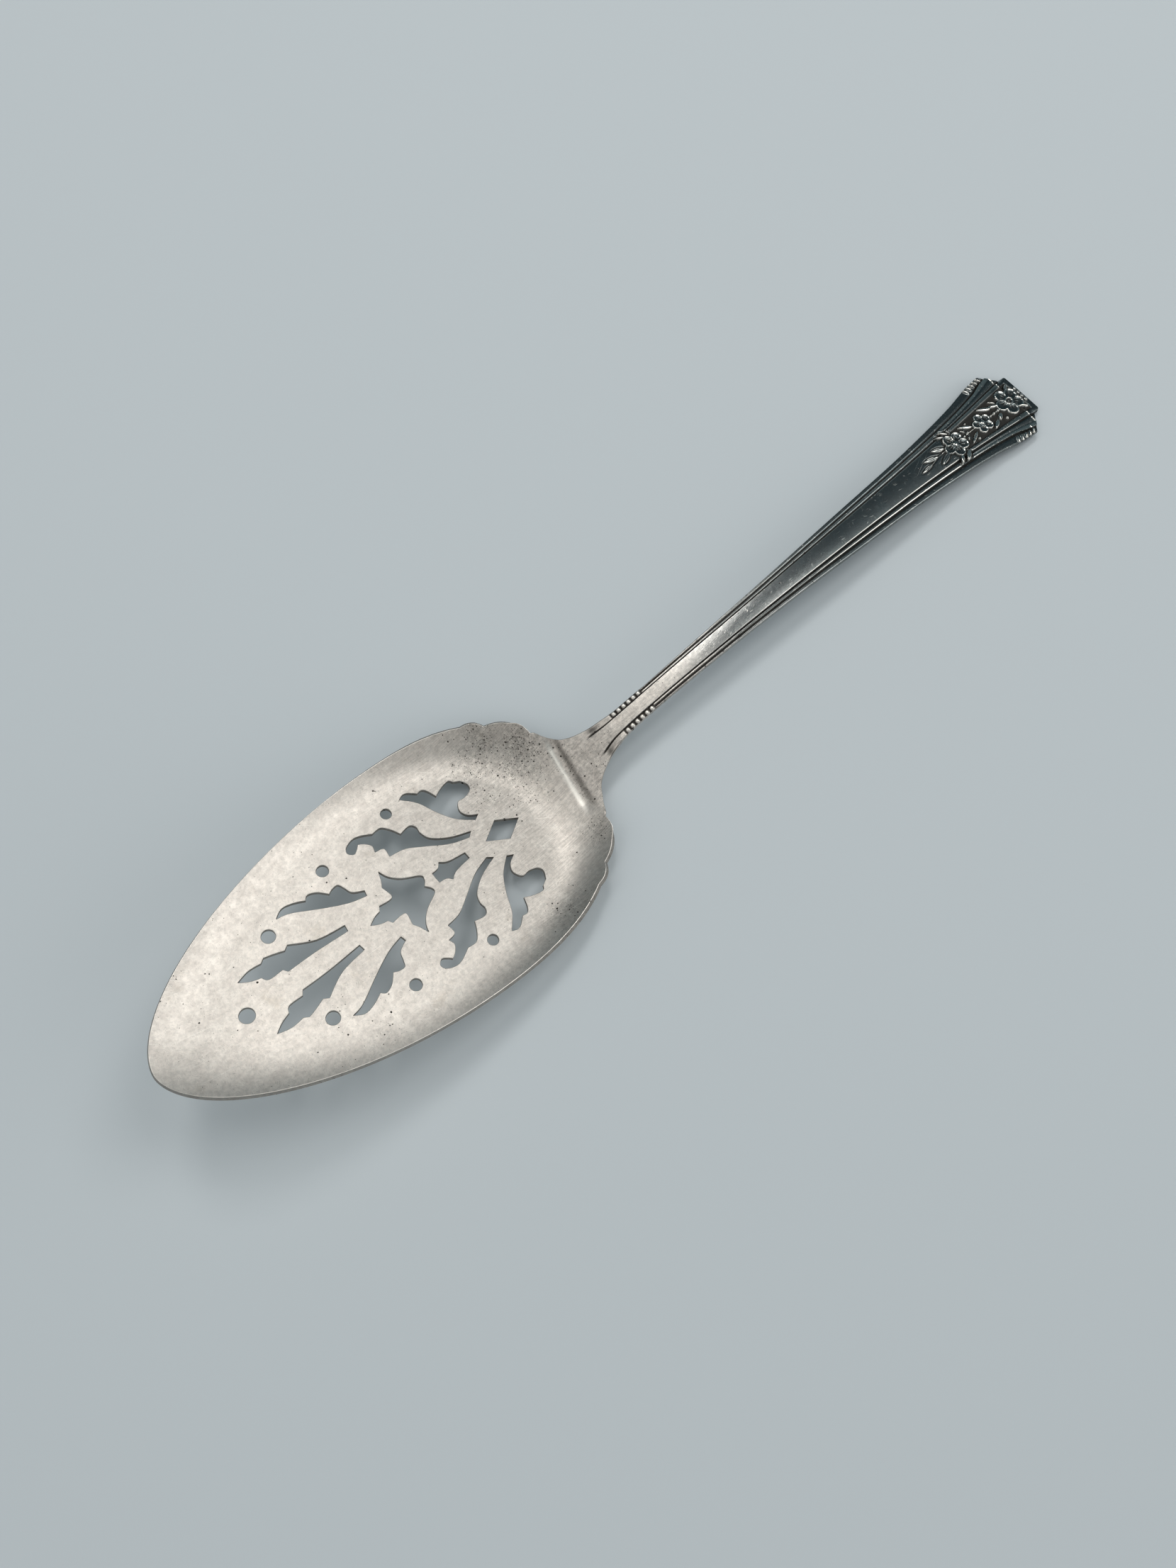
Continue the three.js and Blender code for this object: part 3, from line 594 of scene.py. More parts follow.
def tube(rings):
    """Closed skin over rings of points: a grid that is wrapped round and closed at its ends."""
    rows, columns = rings.shape[:2]
    wrapped = np.concatenate([rings, rings[:, :1]], axis=1)
    bm = bmesh.new()
    bmesh.ops.create_grid(bm, x_segments=columns, y_segments=rows - 1, size=1)
    for vertex in bm.verts:
        column = round((vertex.co.x + 1) / 2 * columns)
        row = round((vertex.co.y + 1) / 2 * (rows - 1))
        vertex.co = wrapped[row, column]
    bmesh.ops.remove_doubles(bm, verts=bm.verts, dist=MERGE)
    open_edges = [edge for edge in bm.edges if edge.is_boundary]
    bmesh.ops.holes_fill(bm, edges=open_edges, sides=0)
    bmesh.ops.recalc_face_normals(bm, faces=bm.faces)
    return bm


def object_from(bm, name):
    mesh = bpy.data.meshes.new(name)
    bm.to_mesh(mesh)
    bm.free()
    made = bpy.data.objects.new(name, mesh)
    bpy.context.scene.collection.objects.link(made)
    return made


def cutter_rings(outline, opening):
    """Rings of a cutter through the sheet; opening 1 spreads it at both faces, -1 draws it in."""
    layers = [(CUTTER_OVERSHOOT, EDGE_SOFTENING[0][1])]
    layers += [(-depth, spread) for depth, spread in EDGE_SOFTENING]
    layers += [(depth - SHEET, spread) for depth, spread in reversed(EDGE_SOFTENING)]
    layers += [(-SHEET - CUTTER_OVERSHOOT, EDGE_SOFTENING[0][1])]
    rings = []
    for height, spread in layers:
        points = widened(outline, opening * spread)
        rings.append(np.column_stack([points, np.full(len(points), height)]))
    return np.array(rings)


def trim(target, cutter, operation):
    modifier = target.modifiers.new(cutter.name, "BOOLEAN")
    modifier.operation = operation
    modifier.solver = "EXACT"
    modifier.object = cutter


def applied(target, cutters):
    """Takes the target's trimmed mesh and removes the cutters."""
    seen = target.evaluated_get(bpy.context.evaluated_depsgraph_get())
    mesh = bpy.data.meshes.new_from_object(seen)
    target.modifiers.clear()
    target.data = mesh
    for cutter in cutters:
        bpy.data.objects.remove(cutter)


def flat_sheet():
    """Unbent sheet with fine cells, larger than the blade on three sides and ending at the joint."""
    start = WIDEST_AT - TIP_REACH - CUTTER_OVERSHOOT / 2
    half_width = BLADE_HALF_WIDTH + CUTTER_OVERSHOOT / 2
    fine_from = JOINT_AT - UPRIGHT_NEAR_JOINT
    along = np.concatenate([
        np.linspace(start, fine_from, round((fine_from - start) / SHEET_CELL), endpoint=False),
        np.linspace(fine_from, JOINT_AT, JOINT_CELLS),
    ])
    across = np.linspace(half_width, -half_width, round(2 * half_width / SHEET_CELL))
    loop = np.concatenate([across, across[::-1]])
    height = np.concatenate([np.zeros_like(across), np.full_like(across, -SHEET)])
    rings = [np.column_stack([np.full_like(loop, at), loop, height]) for at in along]
    return object_from(tube(np.array(rings)), "blade_sheet")


def joined_tubes(all_rings, name):
    """Several separate closed skins in one object."""
    whole = bmesh.new()
    for rings in all_rings:
        bm = tube(rings)
        part = bpy.data.meshes.new(name)
        bm.to_mesh(part)
        bm.free()
        whole.from_mesh(part)
        bpy.data.meshes.remove(part)
    return object_from(whole, name)


def vertex_places(mesh):
    places = np.zeros(len(mesh.vertices) * 3)
    mesh.vertices.foreach_get("co", places)
    return places.reshape(-1, 3)


def put_values(mesh, name, values):
    """Value per vertex that the materials read."""
    attribute = mesh.attributes.new(name, "FLOAT", "POINT")
    attribute.data.foreach_set("value", np.asarray(values, np.float32))


def settle(piece, places, angle):
    """Puts the vertices in place, in metres, with smooth shading up to an angle."""
    piece.data.vertices.foreach_set("co", (places * MM).astype(np.float32).ravel())
    piece.data.shade_smooth()
    piece.data.set_sharp_from_angle(angle=angle)
    piece.data.update()


def make_blade():
    blade = flat_sheet()
    outline = joined_tubes([cutter_rings(flat_outline(), -1)], "blade_outline")
    holes = joined_tubes([cutter_rings(shape, 1) for shape in piercings()], "blade_piercings")
    trim(blade, outline, "INTERSECT")
    trim(blade, holes, "DIFFERENCE")
    applied(blade, [outline, holes])
    flat = vertex_places(blade.data)
    along, across, height = flat.T
    top = dish_height(along, across) - crease_dip(along - JOINT_AT, across) * (1 + height / SHEET)
    places = np.column_stack([along, across, top])
    places += height[:, None] * sheet_direction(along, across)
    settle(blade, on_table(places), SHARP_ANGLE)
    inside = np.minimum(-height, height + SHEET)
    wall_start = EDGE_SOFTENING[-1][0]
    wall = np.where(inside > wall_start - MERGE, 1.0, 0.0)
    edges = np.where(inside > MERGE, 1.0, 0.0) - wall
    behind = along - JOINT_AT
    # Painted highlight along the crease's blade side and painted shade along its handle side; the cut walls
    # carry painted shade, the softened edges real wear
    crease_painted_highlight = CREASE_PAINTED_HIGHLIGHT * crease_band(behind, across, -1)
    crease_painted_shade = CREASE_PAINTED_SHADE * crease_band(behind, across, 1)
    put_values(blade.data, "wear_and_painted_highlight", np.maximum(edges, crease_painted_highlight))
    put_values(blade.data, "hollow_patina_and_painted_shade", np.maximum(WALL_PAINTED_SHADE * wall, crease_painted_shade))
    put_values(blade.data, "rubbed", 1 - smoothstep(*RUBBED_FLOOR, outwardness(along, across)))
    blade.name = "blade_plate"
    return blade


def handle_spine():
    """Centre line of the handle's upper face, as x and z in the frame."""
    top = np.array([JOINT_AT, 0, float(dish_height(*JOINT_MIDDLE))])
    start = on_table(top)[[0, 2]]
    normal = dish_normal(*JOINT_MIDDLE)
    joint_angle = math.atan2(-normal[0], normal[2]) - BLADE_PITCH

    def reach(point, length, angle):
        return point + length * np.array([math.cos(angle), math.sin(angle)])

    heel = reach(start, HEEL_BEND, joint_angle)
    ramp_foot = reach(heel, HEEL_BEND, RAMP_ANGLE)
    ramp_top = reach(ramp_foot, RAMP_LENGTH, RAMP_ANGLE)
    bend = reach(ramp_top, NECK_BEND, RAMP_ANGLE)
    neck = reach(bend, NECK_BEND, NECK_ANGLE)
    end = np.array([neck[0] + ARCH_LENGTH, END_THICKNESS])
    t = np.linspace(0, 1, SPINE_STEPS)[:, None]
    near = reach(neck, NECK_REACH, NECK_ANGLE)
    far = reach(end, -END_REACH, -END_ANGLE)
    arch = (1 - t)**3 * neck + 3 * t * (1 - t)**2 * near + 3 * t**2 * (1 - t) * far + t**3 * end
    return np.concatenate([
        quadratic(start, heel, ramp_foot, SPINE_STEPS)[:-1],
        quadratic(ramp_top, bend, neck, SPINE_STEPS)[:-1],
        arch,
    ])


def handle_widths(rows, length):
    """Half widths of the panel, the fine line, the step and the edge at each row, and the thickness."""
    def along(neck, flare):
        return smooth_value([*neck, *[(length - before, value) for before, value in flare]], rows)

    joint_slope = dish_normal(*JOINT_MIDDLE)[2]
    panel = along(PANEL_NECK, PANEL_FLARE)
    step = along(STEP_NECK, STEP_FLARE)
    edge = along([(0, heel_half_width(JOINT_AT) - NOTCH_NICK), *EDGE_NECK], EDGE_FLARE)
    before = length - rows
    plan_before, plan_width = np.array(END_PLAN).T
    plan = np.interp(before, plan_before[::-1], plan_width[::-1], right=BLADE_HALF_WIDTH)
    thickness = along([(0, SHEET / joint_slope), *THICKNESS_NECK], THICKNESS_FLARE)
    flare = smooth_value([(length - far, value) for far, value in LINE_FLARE], rows)
    between = panel * (1 - LINE_SHARE) + step * LINE_SHARE
    line = flare + (between - flare) * smoothstep(LINE_FLARE[0][0], LINE_FLARE[0][0] + LINE_EASE, before)
    return panel, line, step, np.minimum(edge, plan), thickness


def groove_sizes(inner, outer):
    spacing = outer - inner
    return np.minimum(GROOVE_SHARE * spacing, GROOVE_MOST), np.minimum(BEVEL_SHARE * spacing, BEVEL_MOST)


def side_columns(panel, line, step, edge):
    """Places across from the middle out at each row, gathered at the grooves."""
    groove, bevel = groove_sizes(panel, step)
    outer_groove, outer_bevel = groove_sizes(step, edge + BEYOND_EDGE)
    room = np.minimum(LINE_WIDTH, (step - panel) * LINE_ROOM)
    knots = np.stack([
        np.zeros_like(panel), panel - bevel, panel, panel + groove / 2, panel + groove,
        line - room, line, line + room, step - outer_bevel, step, step + outer_groove / 2,
        step + outer_groove, edge - EDGE_ROUND, edge,
    ], -1)
    count = knots.shape[1]
    ceiling = edge[:, None] - COLUMN_GAP * np.arange(count - 1, -1, -1)
    knots = np.minimum(np.maximum.accumulate(knots, axis=1), ceiling)
    at = np.concatenate([[0], np.cumsum(SIDE_COLUMNS)])
    spread = np.arange(at[-1] + 1)
    return np.array([np.interp(spread, at, row) for row in knots])


def reeding(before, across, widths, fades):
    """Stepped and grooved upper face, below the plain panel."""
    panel, line, step, edge, _ = [width[:, None] for width in widths]
    out = np.abs(across)
    height = -PANEL_CROWN * np.minimum(out / panel, 1)**2 * fades[0]
    for inner, outer, fade in ((panel, step, fades[0]), (step, edge + BEYOND_EDGE, fades[1])):
        groove, bevel = groove_sizes(inner, outer)
        wall = smoothstep(inner - bevel, inner + STEP_WALL, out)
        height = height - fade * (STEP_DROP + GROOVE_DEPTH) * wall
        height = height + fade * GROOVE_DEPTH * smoothstep(inner + groove / 2, inner + groove, out)
    near = LINE_FLARE[0][0]
    line_here = smoothstep(near, near - LINE_START, before)
    line_cut = 1 - smoothstep(0, LINE_WIDTH, np.abs(out - line))
    height = height - LINE_DEPTH * line_here * line_cut
    return height - EDGE_ROUND * smoothstep(edge - EDGE_ROUND, edge, out)**2


def bead(forward, aside, length, width, height):
    """Pillow-shaped swelling, squarish in plan."""
    plan = np.abs(2 * forward / length)**BEAD_SQUARENESS + np.abs(2 * aside / width)**BEAD_SQUARENESS
    return height * np.maximum(0, 1 - plan)**BEAD_FULLNESS


def turned(before, across, at_before, at_across, angle):
    """Distances along and aside from a place, along an angle that opens towards the end."""
    ahead = at_before - before
    side = across - at_across
    return (ahead * math.cos(angle) + side * math.sin(angle),
            side * math.cos(angle) - ahead * math.sin(angle))


def add_neck_beads(height, rows, across, widths):
    panel, _, _, edge, _ = [width[:, None] for width in widths]
    groove = groove_sizes(panel, widths[2][:, None])[0]
    inner = panel + groove
    middle = (inner + edge) / 2
    first = NECK_BEAD_START - NECK_BEAD_PITCH / 2
    last = first + NECK_BEADS * NECK_BEAD_PITCH
    foot, rise = BED_SLOPE
    inside = smoothstep(first - foot, first + rise, rows) * (1 - smoothstep(last - rise, last + foot, rows))
    out = np.abs(across)
    sunk = inside * smoothstep(panel, panel + groove / 3, out) * (1 - smoothstep(edge - rise, edge, out))
    height = height * (1 - sunk) + np.minimum(height, ORNAMENT_BED) * sunk
    width = edge - inner + NECK_BEAD_OVERLAP
    for i in range(NECK_BEADS):
        forward = rows - (NECK_BEAD_START + i * NECK_BEAD_PITCH)
        swelling = bead(forward, out - middle, NECK_BEAD_LENGTH, width, NECK_BEAD_HEIGHT)
        height = np.where(swelling > 0, np.maximum(height, ORNAMENT_BED + swelling), height)
    return height


def add_flutes(height, before, across, widths):
    edge = widths[3][:, None]
    for i in range(FLUTES):
        at_before = FLUTE_START - i * FLUTE_PITCH
        row = np.argmin(np.abs(before[:, 0] - at_before))
        at_across = edge[row, 0] - FLUTE_LENGTH * FLUTE_INSET
        forward, aside = turned(before, np.abs(across), at_before, at_across, math.pi / 2 + FLUTE_LEAN)
        swelling = bead(forward, aside, FLUTE_LENGTH, FLUTE_WIDTH, FLUTE_HEIGHT)
        near = (np.abs(forward) < FLUTE_LENGTH / 2) & (np.abs(aside) < FLUTE_PITCH / 2)
        lowered = np.where(near, np.minimum(height, ORNAMENT_BED), height)
        height = np.where(swelling > 0, np.maximum(lowered, ORNAMENT_BED + swelling), lowered)
    return height


def add_end_beads(height, before, across):
    for i in range(END_BEADS):
        at_across = (i - (END_BEADS - 1) / 2) * END_BEAD_PITCH
        swelling = bead(before - END_BEAD_INSET, across - at_across, 2 * END_BEAD_RADIUS,
                        2 * END_BEAD_RADIUS, END_BEAD_HEIGHT)
        height = height + swelling
    return height


def frame_mask(before, across):
    """1 inside the sunk frame, 0 outside, with sloped sides."""
    share = np.clip((FRAME_START - before) / (FRAME_START - FRAME_END), 0, 1)
    half = FRAME_WIDTHS[0] + (FRAME_WIDTHS[1] - FRAME_WIDTHS[0]) * share
    sides = 1 - smoothstep(half - FRAME_SLOPE, half, np.abs(across))
    ends = smoothstep(FRAME_END, FRAME_END + FRAME_SLOPE, before)
    return sides * ends * (1 - smoothstep(FRAME_START - FRAME_SLOPE, FRAME_START, before))


def half_round(reach):
    """Height of a half round, 1 in the middle and 0 from a reach of 1 on."""
    return np.sqrt(np.maximum(0, 1 - reach**2))


def blossom_height(before, across, blossom):
    at_before, at_across, radius, start, ringed = blossom
    ahead, side = turned(before, across, at_before, at_across, 0)
    distance = np.hypot(ahead, side)
    around = np.arctan2(side, ahead)
    height = np.full_like(distance, NO_RELIEF)
    for i in range(PETALS):
        angle = math.radians(start + i * 360 / PETALS)
        out = ahead * math.cos(angle) + side * math.sin(angle) - PETAL_REACH * radius
        wide = side * math.cos(angle) - ahead * math.sin(angle)
        reach = np.hypot(out / (PETAL_LENGTH * radius), wide / (PETAL_WIDTH * radius))
        cup = PETAL_CUP[0] + PETAL_CUP[1] * np.minimum(reach, 1)**4
        petal = PETAL_HEIGHT * cup * (1 - smoothstep(*PETAL_EDGE, reach)) - RELIEF_SINK
        height = np.maximum(height, np.where(reach < PETAL_EDGE[1], petal, NO_RELIEF))
    share = distance / radius
    window = smoothstep(*STROKE_START, share) * (1 - smoothstep(*STROKE_END, share))
    stroke = np.maximum(0, np.cos(STROKES * around))**2
    height = np.where(distance < HEART_REACH * radius, np.maximum(height, HEART_HEIGHT), height)
    height = height - STROKE_DEPTH * window * stroke
    boss = distance / (BOSS_SHARE * radius)
    dome = BOSS_HEIGHT * half_round(boss) - RELIEF_SINK / 2
    if ringed:
        ring = BOSS_HEIGHT * np.exp(-((boss - RING_AT) / RING_WIDTH)**2) - RELIEF_SINK / 2
        dome = np.where(boss < BOSS_EDGE, ring, dome)
        dome = np.maximum(dome, PISTIL_HEIGHT * half_round(boss / PISTIL_SHARE) - RELIEF_SINK / 2)
    return np.where(boss < BOSS_EDGE, np.maximum(dome, np.where(boss < 1, dome, height)), height)


def leaf_height(before, across, leaf):
    tip_before, tip_across, base_before, base_across, width = leaf
    run = np.array([tip_before - base_before, base_across - tip_across])
    length = np.linalg.norm(run)
    ahead, side = turned(before, across, tip_before, tip_across, math.atan2(run[1], run[0]))
    share = np.clip(ahead / length, *LEAF_ENDS)
    fullness = LEAF_FULLNESS[0] + LEAF_FULLNESS[1] * share
    half = width / 2 * (4 * share * (1 - share))**LEAF_ROUNDNESS * fullness
    reach = np.abs(side) / half
    cup = LEAF_CUP[0] + LEAF_CUP[1] * np.minimum(reach, 1)**2
    rib = RIB_HEIGHT * (1 - smoothstep(*RIB_EDGE, reach))
    height = LEAF_HEIGHT * (cup + rib) * (1 - smoothstep(*LEAF_EDGE, reach)) - RELIEF_SINK
    inside = (ahead > 0) & (ahead < length) & (reach < LEAF_EDGE[1])
    return np.where(inside, height, NO_RELIEF)


def stem_height(before, across, stem):
    height = np.full_like(before, NO_RELIEF)
    for start, end in zip(stem, stem[1:]):
        run = np.array([start[0] - end[0], end[1] - start[1]])
        length = np.linalg.norm(run)
        ahead, side = turned(before, across, start[0], start[1], math.atan2(run[1], run[0]))
        gap = np.hypot(side, np.maximum(0, np.maximum(-ahead, ahead - length)))
        ridge = STEM_HEIGHT * half_round(2 * gap / STEM_WIDTH) - RELIEF_SINK
        height = np.maximum(height, np.where(gap < STEM_WIDTH / 2, ridge, NO_RELIEF))
    return height


def add_floral_relief(height, before, across):
    """Blossoms, leaves, buds and stems over the panel and its sunk frame, and where tarnish stays."""
    sunk = frame_mask(before, across)
    ground = height - FRAME_DEPTH * sunk
    height = ground
    for stem in STEMS:
        height = np.maximum(height, stem_height(before, across, stem))
    for leaf in LEAVES:
        height = np.maximum(height, leaf_height(before, across, leaf))
    for at_before, at_across, radius in BUDS:
        reach = np.hypot(before - at_before, across - at_across) / radius
        dome = LEAF_HEIGHT * half_round(reach) - RELIEF_SINK
        height = np.where(reach < 1, np.maximum(height, dome), height)
    for blossom in BLOSSOMS:
        height = np.maximum(height, blossom_height(before, across, blossom))
    raised = np.where(height > ground + RAISED_LEAST, 1.0, 0.0)
    moat = smoothstep(*MOAT_EDGE, blurred(raised, MOAT_REACH, MOAT_BLURS)) * (1 - raised)
    height = height - MOAT_DEPTH * moat * (1 - sunk)
    return height, np.maximum(moat, sunk * (1 - raised))


def blurred(values, reach, times):
    """Values averaged over their neighbours, several times over."""
    window = np.ones(2 * reach + 1) / (2 * reach + 1)
    for _ in range(times):
        for axis in (0, 1):
            pads = [(reach, reach) if axis == k else (0, 0) for k in (0, 1)]
            padded = np.pad(values, pads, mode="edge")
            values = np.apply_along_axis(np.convolve, axis, padded, window, mode="valid")
    return values


def handle_rows(length):
    """Distances behind the joint, close together at the beads and the ornament."""
    parts = [np.linspace(start, end, count, endpoint=False) for start, end, count in HANDLE_ROWS]
    stops = [HANDLE_ROWS[-1][1], *[length - before for before, _ in END_PLAN]]
    for start, end in zip(stops, stops[1:]):
        count = max(1, round((end - start) / END_ROW))
        parts.append(np.linspace(start, end, count, endpoint=False))
    return np.concatenate([*parts, [length]])


def back_profile(edge, top, thickness):
    """Right wall, back and left wall at each row, as places across and heights."""
    rounding = np.minimum(BACK_ROUND, thickness / 2)
    wall = np.linspace(0, 1, WALL_COLUMNS + 1)[1:]
    quarter = np.linspace(0, math.pi / 2, ROUND_COLUMNS + 1)[1:]
    wall_end = -thickness + rounding
    wall_height = top[:, None] + (wall_end - top)[:, None] * wall
    round_across = edge[:, None] - rounding[:, None] * (1 - np.cos(quarter))
    round_height = wall_end[:, None] - rounding[:, None] * np.sin(quarter)
    flat = np.linspace(1, -1, BACK_COLUMNS + 1)[1:-1]
    flat_across = (edge - rounding)[:, None] * flat
    flat_height = np.repeat(-thickness[:, None], len(flat), axis=1)
    wall_across = np.repeat(edge[:, None], len(wall), axis=1)
    right = (np.hstack([wall_across, round_across]), np.hstack([wall_height, round_height]))
    across = np.hstack([right[0], flat_across, -right[0][:, ::-1]])
    height = np.hstack([right[1], flat_height, right[1][:, ::-1]])
    return across, height


def make_handle():
    spine = handle_spine()
    rows = handle_rows(spine[-1, 0] - spine[0, 0])
    length = rows[-1]
    widths = handle_widths(rows, length)
    half = side_columns(*widths[:4])
    across = np.hstack([-half[:, :0:-1], half])
    distance = np.repeat(rows[:, None], across.shape[1], axis=1)
    before = length - distance
    fades = [smoothstep(*fade, distance) for fade in (PANEL_LINE_FADE, STEP_LINE_FADE)]
    height = reeding(before, across, widths, fades)
    height = add_neck_beads(height, distance, across, widths)
    height = add_flutes(height, before, across, widths)
    height = add_end_beads(height, before, across)
    height, tarnish = add_floral_relief(height, before, across)
    height = blurred(height, 1, 1)
    height = height - EDGE_ROUND * smoothstep(EDGE_ROUND, 0, before)**2
    relief = height - blurred(height, BLUR_REACH, BLUR_TIMES)
    back_across, back_height = back_profile(widths[3], height[:, -1], widths[4])
    all_across = np.hstack([across, back_across])
    all_height = np.hstack([height, back_height])
    plain = np.zeros_like(back_across)
    hollow_patina_and_painted_shade = np.hstack([np.maximum(np.clip(-relief / RELIEF_SPAN, 0, 1), tarnish), plain])
    wear_and_painted_highlight = np.hstack([np.clip((relief - WEAR_START) / RELIEF_SPAN, 0, 1), plain])
    # Painted highlight along the crease's blade side and painted shade along its handle side, added to the
    # worn crests and tarnished hollows
    wear_and_painted_highlight = np.maximum(wear_and_painted_highlight, CREASE_PAINTED_HIGHLIGHT * crease_band(rows[:, None], all_across, -1))
    hollow_patina_and_painted_shade = np.maximum(hollow_patina_and_painted_shade, CREASE_PAINTED_SHADE * crease_band(rows[:, None], all_across, 1))
    joint_dish = dish_height(np.full_like(all_across, JOINT_AT), all_across) - dish_height(*JOINT_MIDDLE)
    all_height = all_height + joint_dish * (1 - smoothstep(0, DISH_FADE, rows))[:, None]
    all_height = all_height - np.hstack([crease_dip(rows[:, None], across), plain])
    lean = (BLADE_PITCH * (1 - smoothstep(0, LEAN_FADE, rows)))[:, None]
    centre_x = rows[:, None] + spine[0, 0]
    centre_z = np.interp(centre_x[:, 0], spine[:, 0], spine[:, 1])[:, None]
    rings = np.stack([
        centre_x + all_height * np.sin(lean), all_across, centre_z + all_height * np.cos(lean)], -1)
    marked = np.concatenate([rings, hollow_patina_and_painted_shade[..., None], wear_and_painted_highlight[..., None]], -1)
    return finished_handle(rings, marked)


def finished_handle(rings, marked):
    """Handle mesh with its hollows and worn places marked, together with the painted highlight and painted
    shade along the crease.
    """
    handle = object_from(tube(rings), "handle_body")
    places = vertex_places(handle.data)
    known = marked.reshape(-1, marked.shape[-1])
    values = {tuple(np.round(point[:3], PLACE_DIGITS)): point[3:] for point in known}
    found = np.array([values.get(tuple(np.round(place, PLACE_DIGITS)), (0, 0)) for place in places])
    settle(handle, places, HANDLE_SHARP_ANGLE)
    put_values(handle.data, "hollow_patina_and_painted_shade", found[:, 0])
    put_values(handle.data, "wear_and_painted_highlight", found[:, 1])
    return handle


def add(tree, kind, inputs=None, **settings):
    """New node with its settings; an input is a value or another node's output."""
    made = tree.nodes.new(kind)
    for name, value in settings.items():
        setattr(made, name, value)
    for name, value in (inputs or {}).items():
        if isinstance(value, bpy.types.NodeSocket):
            tree.links.new(value, made.inputs[name])
        else:
            made.inputs[name].default_value = value
    return made


def maths(tree, operation, *values):
    return add(tree, "ShaderNodeMath", dict(enumerate(values)), operation=operation).outputs[0]


def ranged(tree, value, low, high, to_low=0.0, to_high=1.0):
    made = add(tree, "ShaderNodeMapRange", {0: value, 1: low, 2: high, 3: to_low, 4: to_high},
               interpolation_type="SMOOTHSTEP")
    return made.outputs[0]


def mixed(tree, share, first, second):
    made = add(tree, "ShaderNodeMix", {0: share, 6: first, 7: second}, data_type="RGBA")
    return made.outputs[2]


def noise(tree, vector, scale, detail, roughness):
    made = add(tree, "ShaderNodeTexNoise",
               {"Vector": vector, "Scale": scale, "Detail": detail, "Roughness": roughness})
    return made.outputs[0]


def largest(tree, values):
    total = values[0]
    for value in values[1:]:
        total = maths(tree, "MAXIMUM", total, value)
    return total


def pushed(tree, vector, scale, detail, push):
    """Coordinates pushed about by noise, so that lines bend and spots turn ragged."""
    cloud = add(tree, "ShaderNodeTexNoise", {"Vector": vector, "Scale": scale, "Detail": detail})
    shift = add(tree, "ShaderNodeVectorMath", {0: cloud.outputs["Color"], "Scale": push}, operation="SCALE")
    return add(tree, "ShaderNodeVectorMath", {0: vector, 1: shift.outputs[0]}).outputs[0]


def scattered(tree, vector, scale, amount):
    """Cells of which a share is kept: distance from the cell's middle, 1 where kept, and a chance value."""
    cells = add(tree, "ShaderNodeTexVoronoi", {"Vector": vector, "Scale": scale},
                voronoi_dimensions="2D", feature="F1").outputs
    parts = add(tree, "ShaderNodeSeparateColor", {0: cells["Color"]}).outputs
    return cells["Distance"], maths(tree, "LESS_THAN", parts[0], amount), parts[1]


def stretched(tree, vector, angle, along, across):
    """Coordinates turned about Z and scaled differently along and across."""
    turned_vector = add(tree, "ShaderNodeVectorRotate", {"Vector": vector, "Angle": math.radians(angle)},
                        rotation_type="Z_AXIS").outputs[0]
    scaled = add(tree, "ShaderNodeMapping", {"Vector": turned_vector, "Scale": (along, across, along)})
    return scaled.outputs[0]


def node_group(name, inputs, outputs):
    """Empty shader node group with its sockets, and its two end nodes."""
    tree = bpy.data.node_groups.new(name, "ShaderNodeTree")
    for socket, kind in inputs.items():
        tree.interface.new_socket(name=socket, in_out="INPUT", socket_type=kind)
    for socket in outputs:
        tree.interface.new_socket(name=socket, in_out="OUTPUT", socket_type="NodeSocketFloat")
    return tree, tree.nodes.new("NodeGroupInput"), tree.nodes.new("NodeGroupOutput")


def dashes(tree, vector, angle, along, across, amount):
    """Thin dashes of one direction; amount is the share of places that holds one."""
    distance, kept, chance = scattered(tree, stretched(tree, vector, angle, along, across), 1.0, amount)
    line = ranged(tree, distance, *SCRATCH_EDGE, 1.0, 0.0)
    return maths(tree, "MULTIPLY", maths(tree, "MULTIPLY", line, kept), chance)


def scratch_group():
    """Pale and dark hair scratches, and fine brushing along the piece."""
    tree, given, result = node_group(
        "scratches", {"Vector": "NodeSocketVector", "Amount": "NodeSocketFloat"},
        ["Pale", "Dark", "Brushing"])
    bent = pushed(tree, given.outputs["Vector"], *SCRATCH_BEND)
    amount = given.outputs["Amount"]
    few = maths(tree, "MULTIPLY", amount, LONG_SHARE)
    pale = [dashes(tree, bent, *family, amount) for family in PALE_SCRATCHES]
    pale += [dashes(tree, bent, *family, few) for family in LONG_SCRATCHES]
    dark = [dashes(tree, bent, *family, amount) for family in DARK_SCRATCHES]
    brushing = noise(tree, stretched(tree, bent, 0, *BRUSHING_CELLS), *BRUSHING_NOISE)
    tree.links.new(largest(tree, pale), result.inputs["Pale"])
    tree.links.new(largest(tree, dark), result.inputs["Dark"])
    tree.links.new(ranged(tree, brushing, *BRUSHING_RANGE), result.inputs["Brushing"])
    return tree


def pit_group():
    """Tiny dark pits of uneven outline, thicker where the density is higher."""
    tree, given, result = node_group(
        "pits", {"Vector": "NodeSocketVector", "Density": "NodeSocketFloat"}, ["Pits"])
    ragged = pushed(tree, given.outputs["Vector"], *PIT_RAGGED)
    spots = []
    for scale, size in PIT_SIZES:
        distance, kept, chance = scattered(tree, ragged, scale, given.outputs["Density"])
        radius = maths(tree, "MULTIPLY_ADD", maths(tree, "POWER", chance, 2.0), size, PIT_LEAST)
        depth = maths(tree, "SUBTRACT", radius, distance)
        spots.append(maths(tree, "MULTIPLY", ranged(tree, depth, 0.0, PIT_EDGE), kept))
    tree.links.new(largest(tree, spots), result.inputs["Pits"])
    return tree


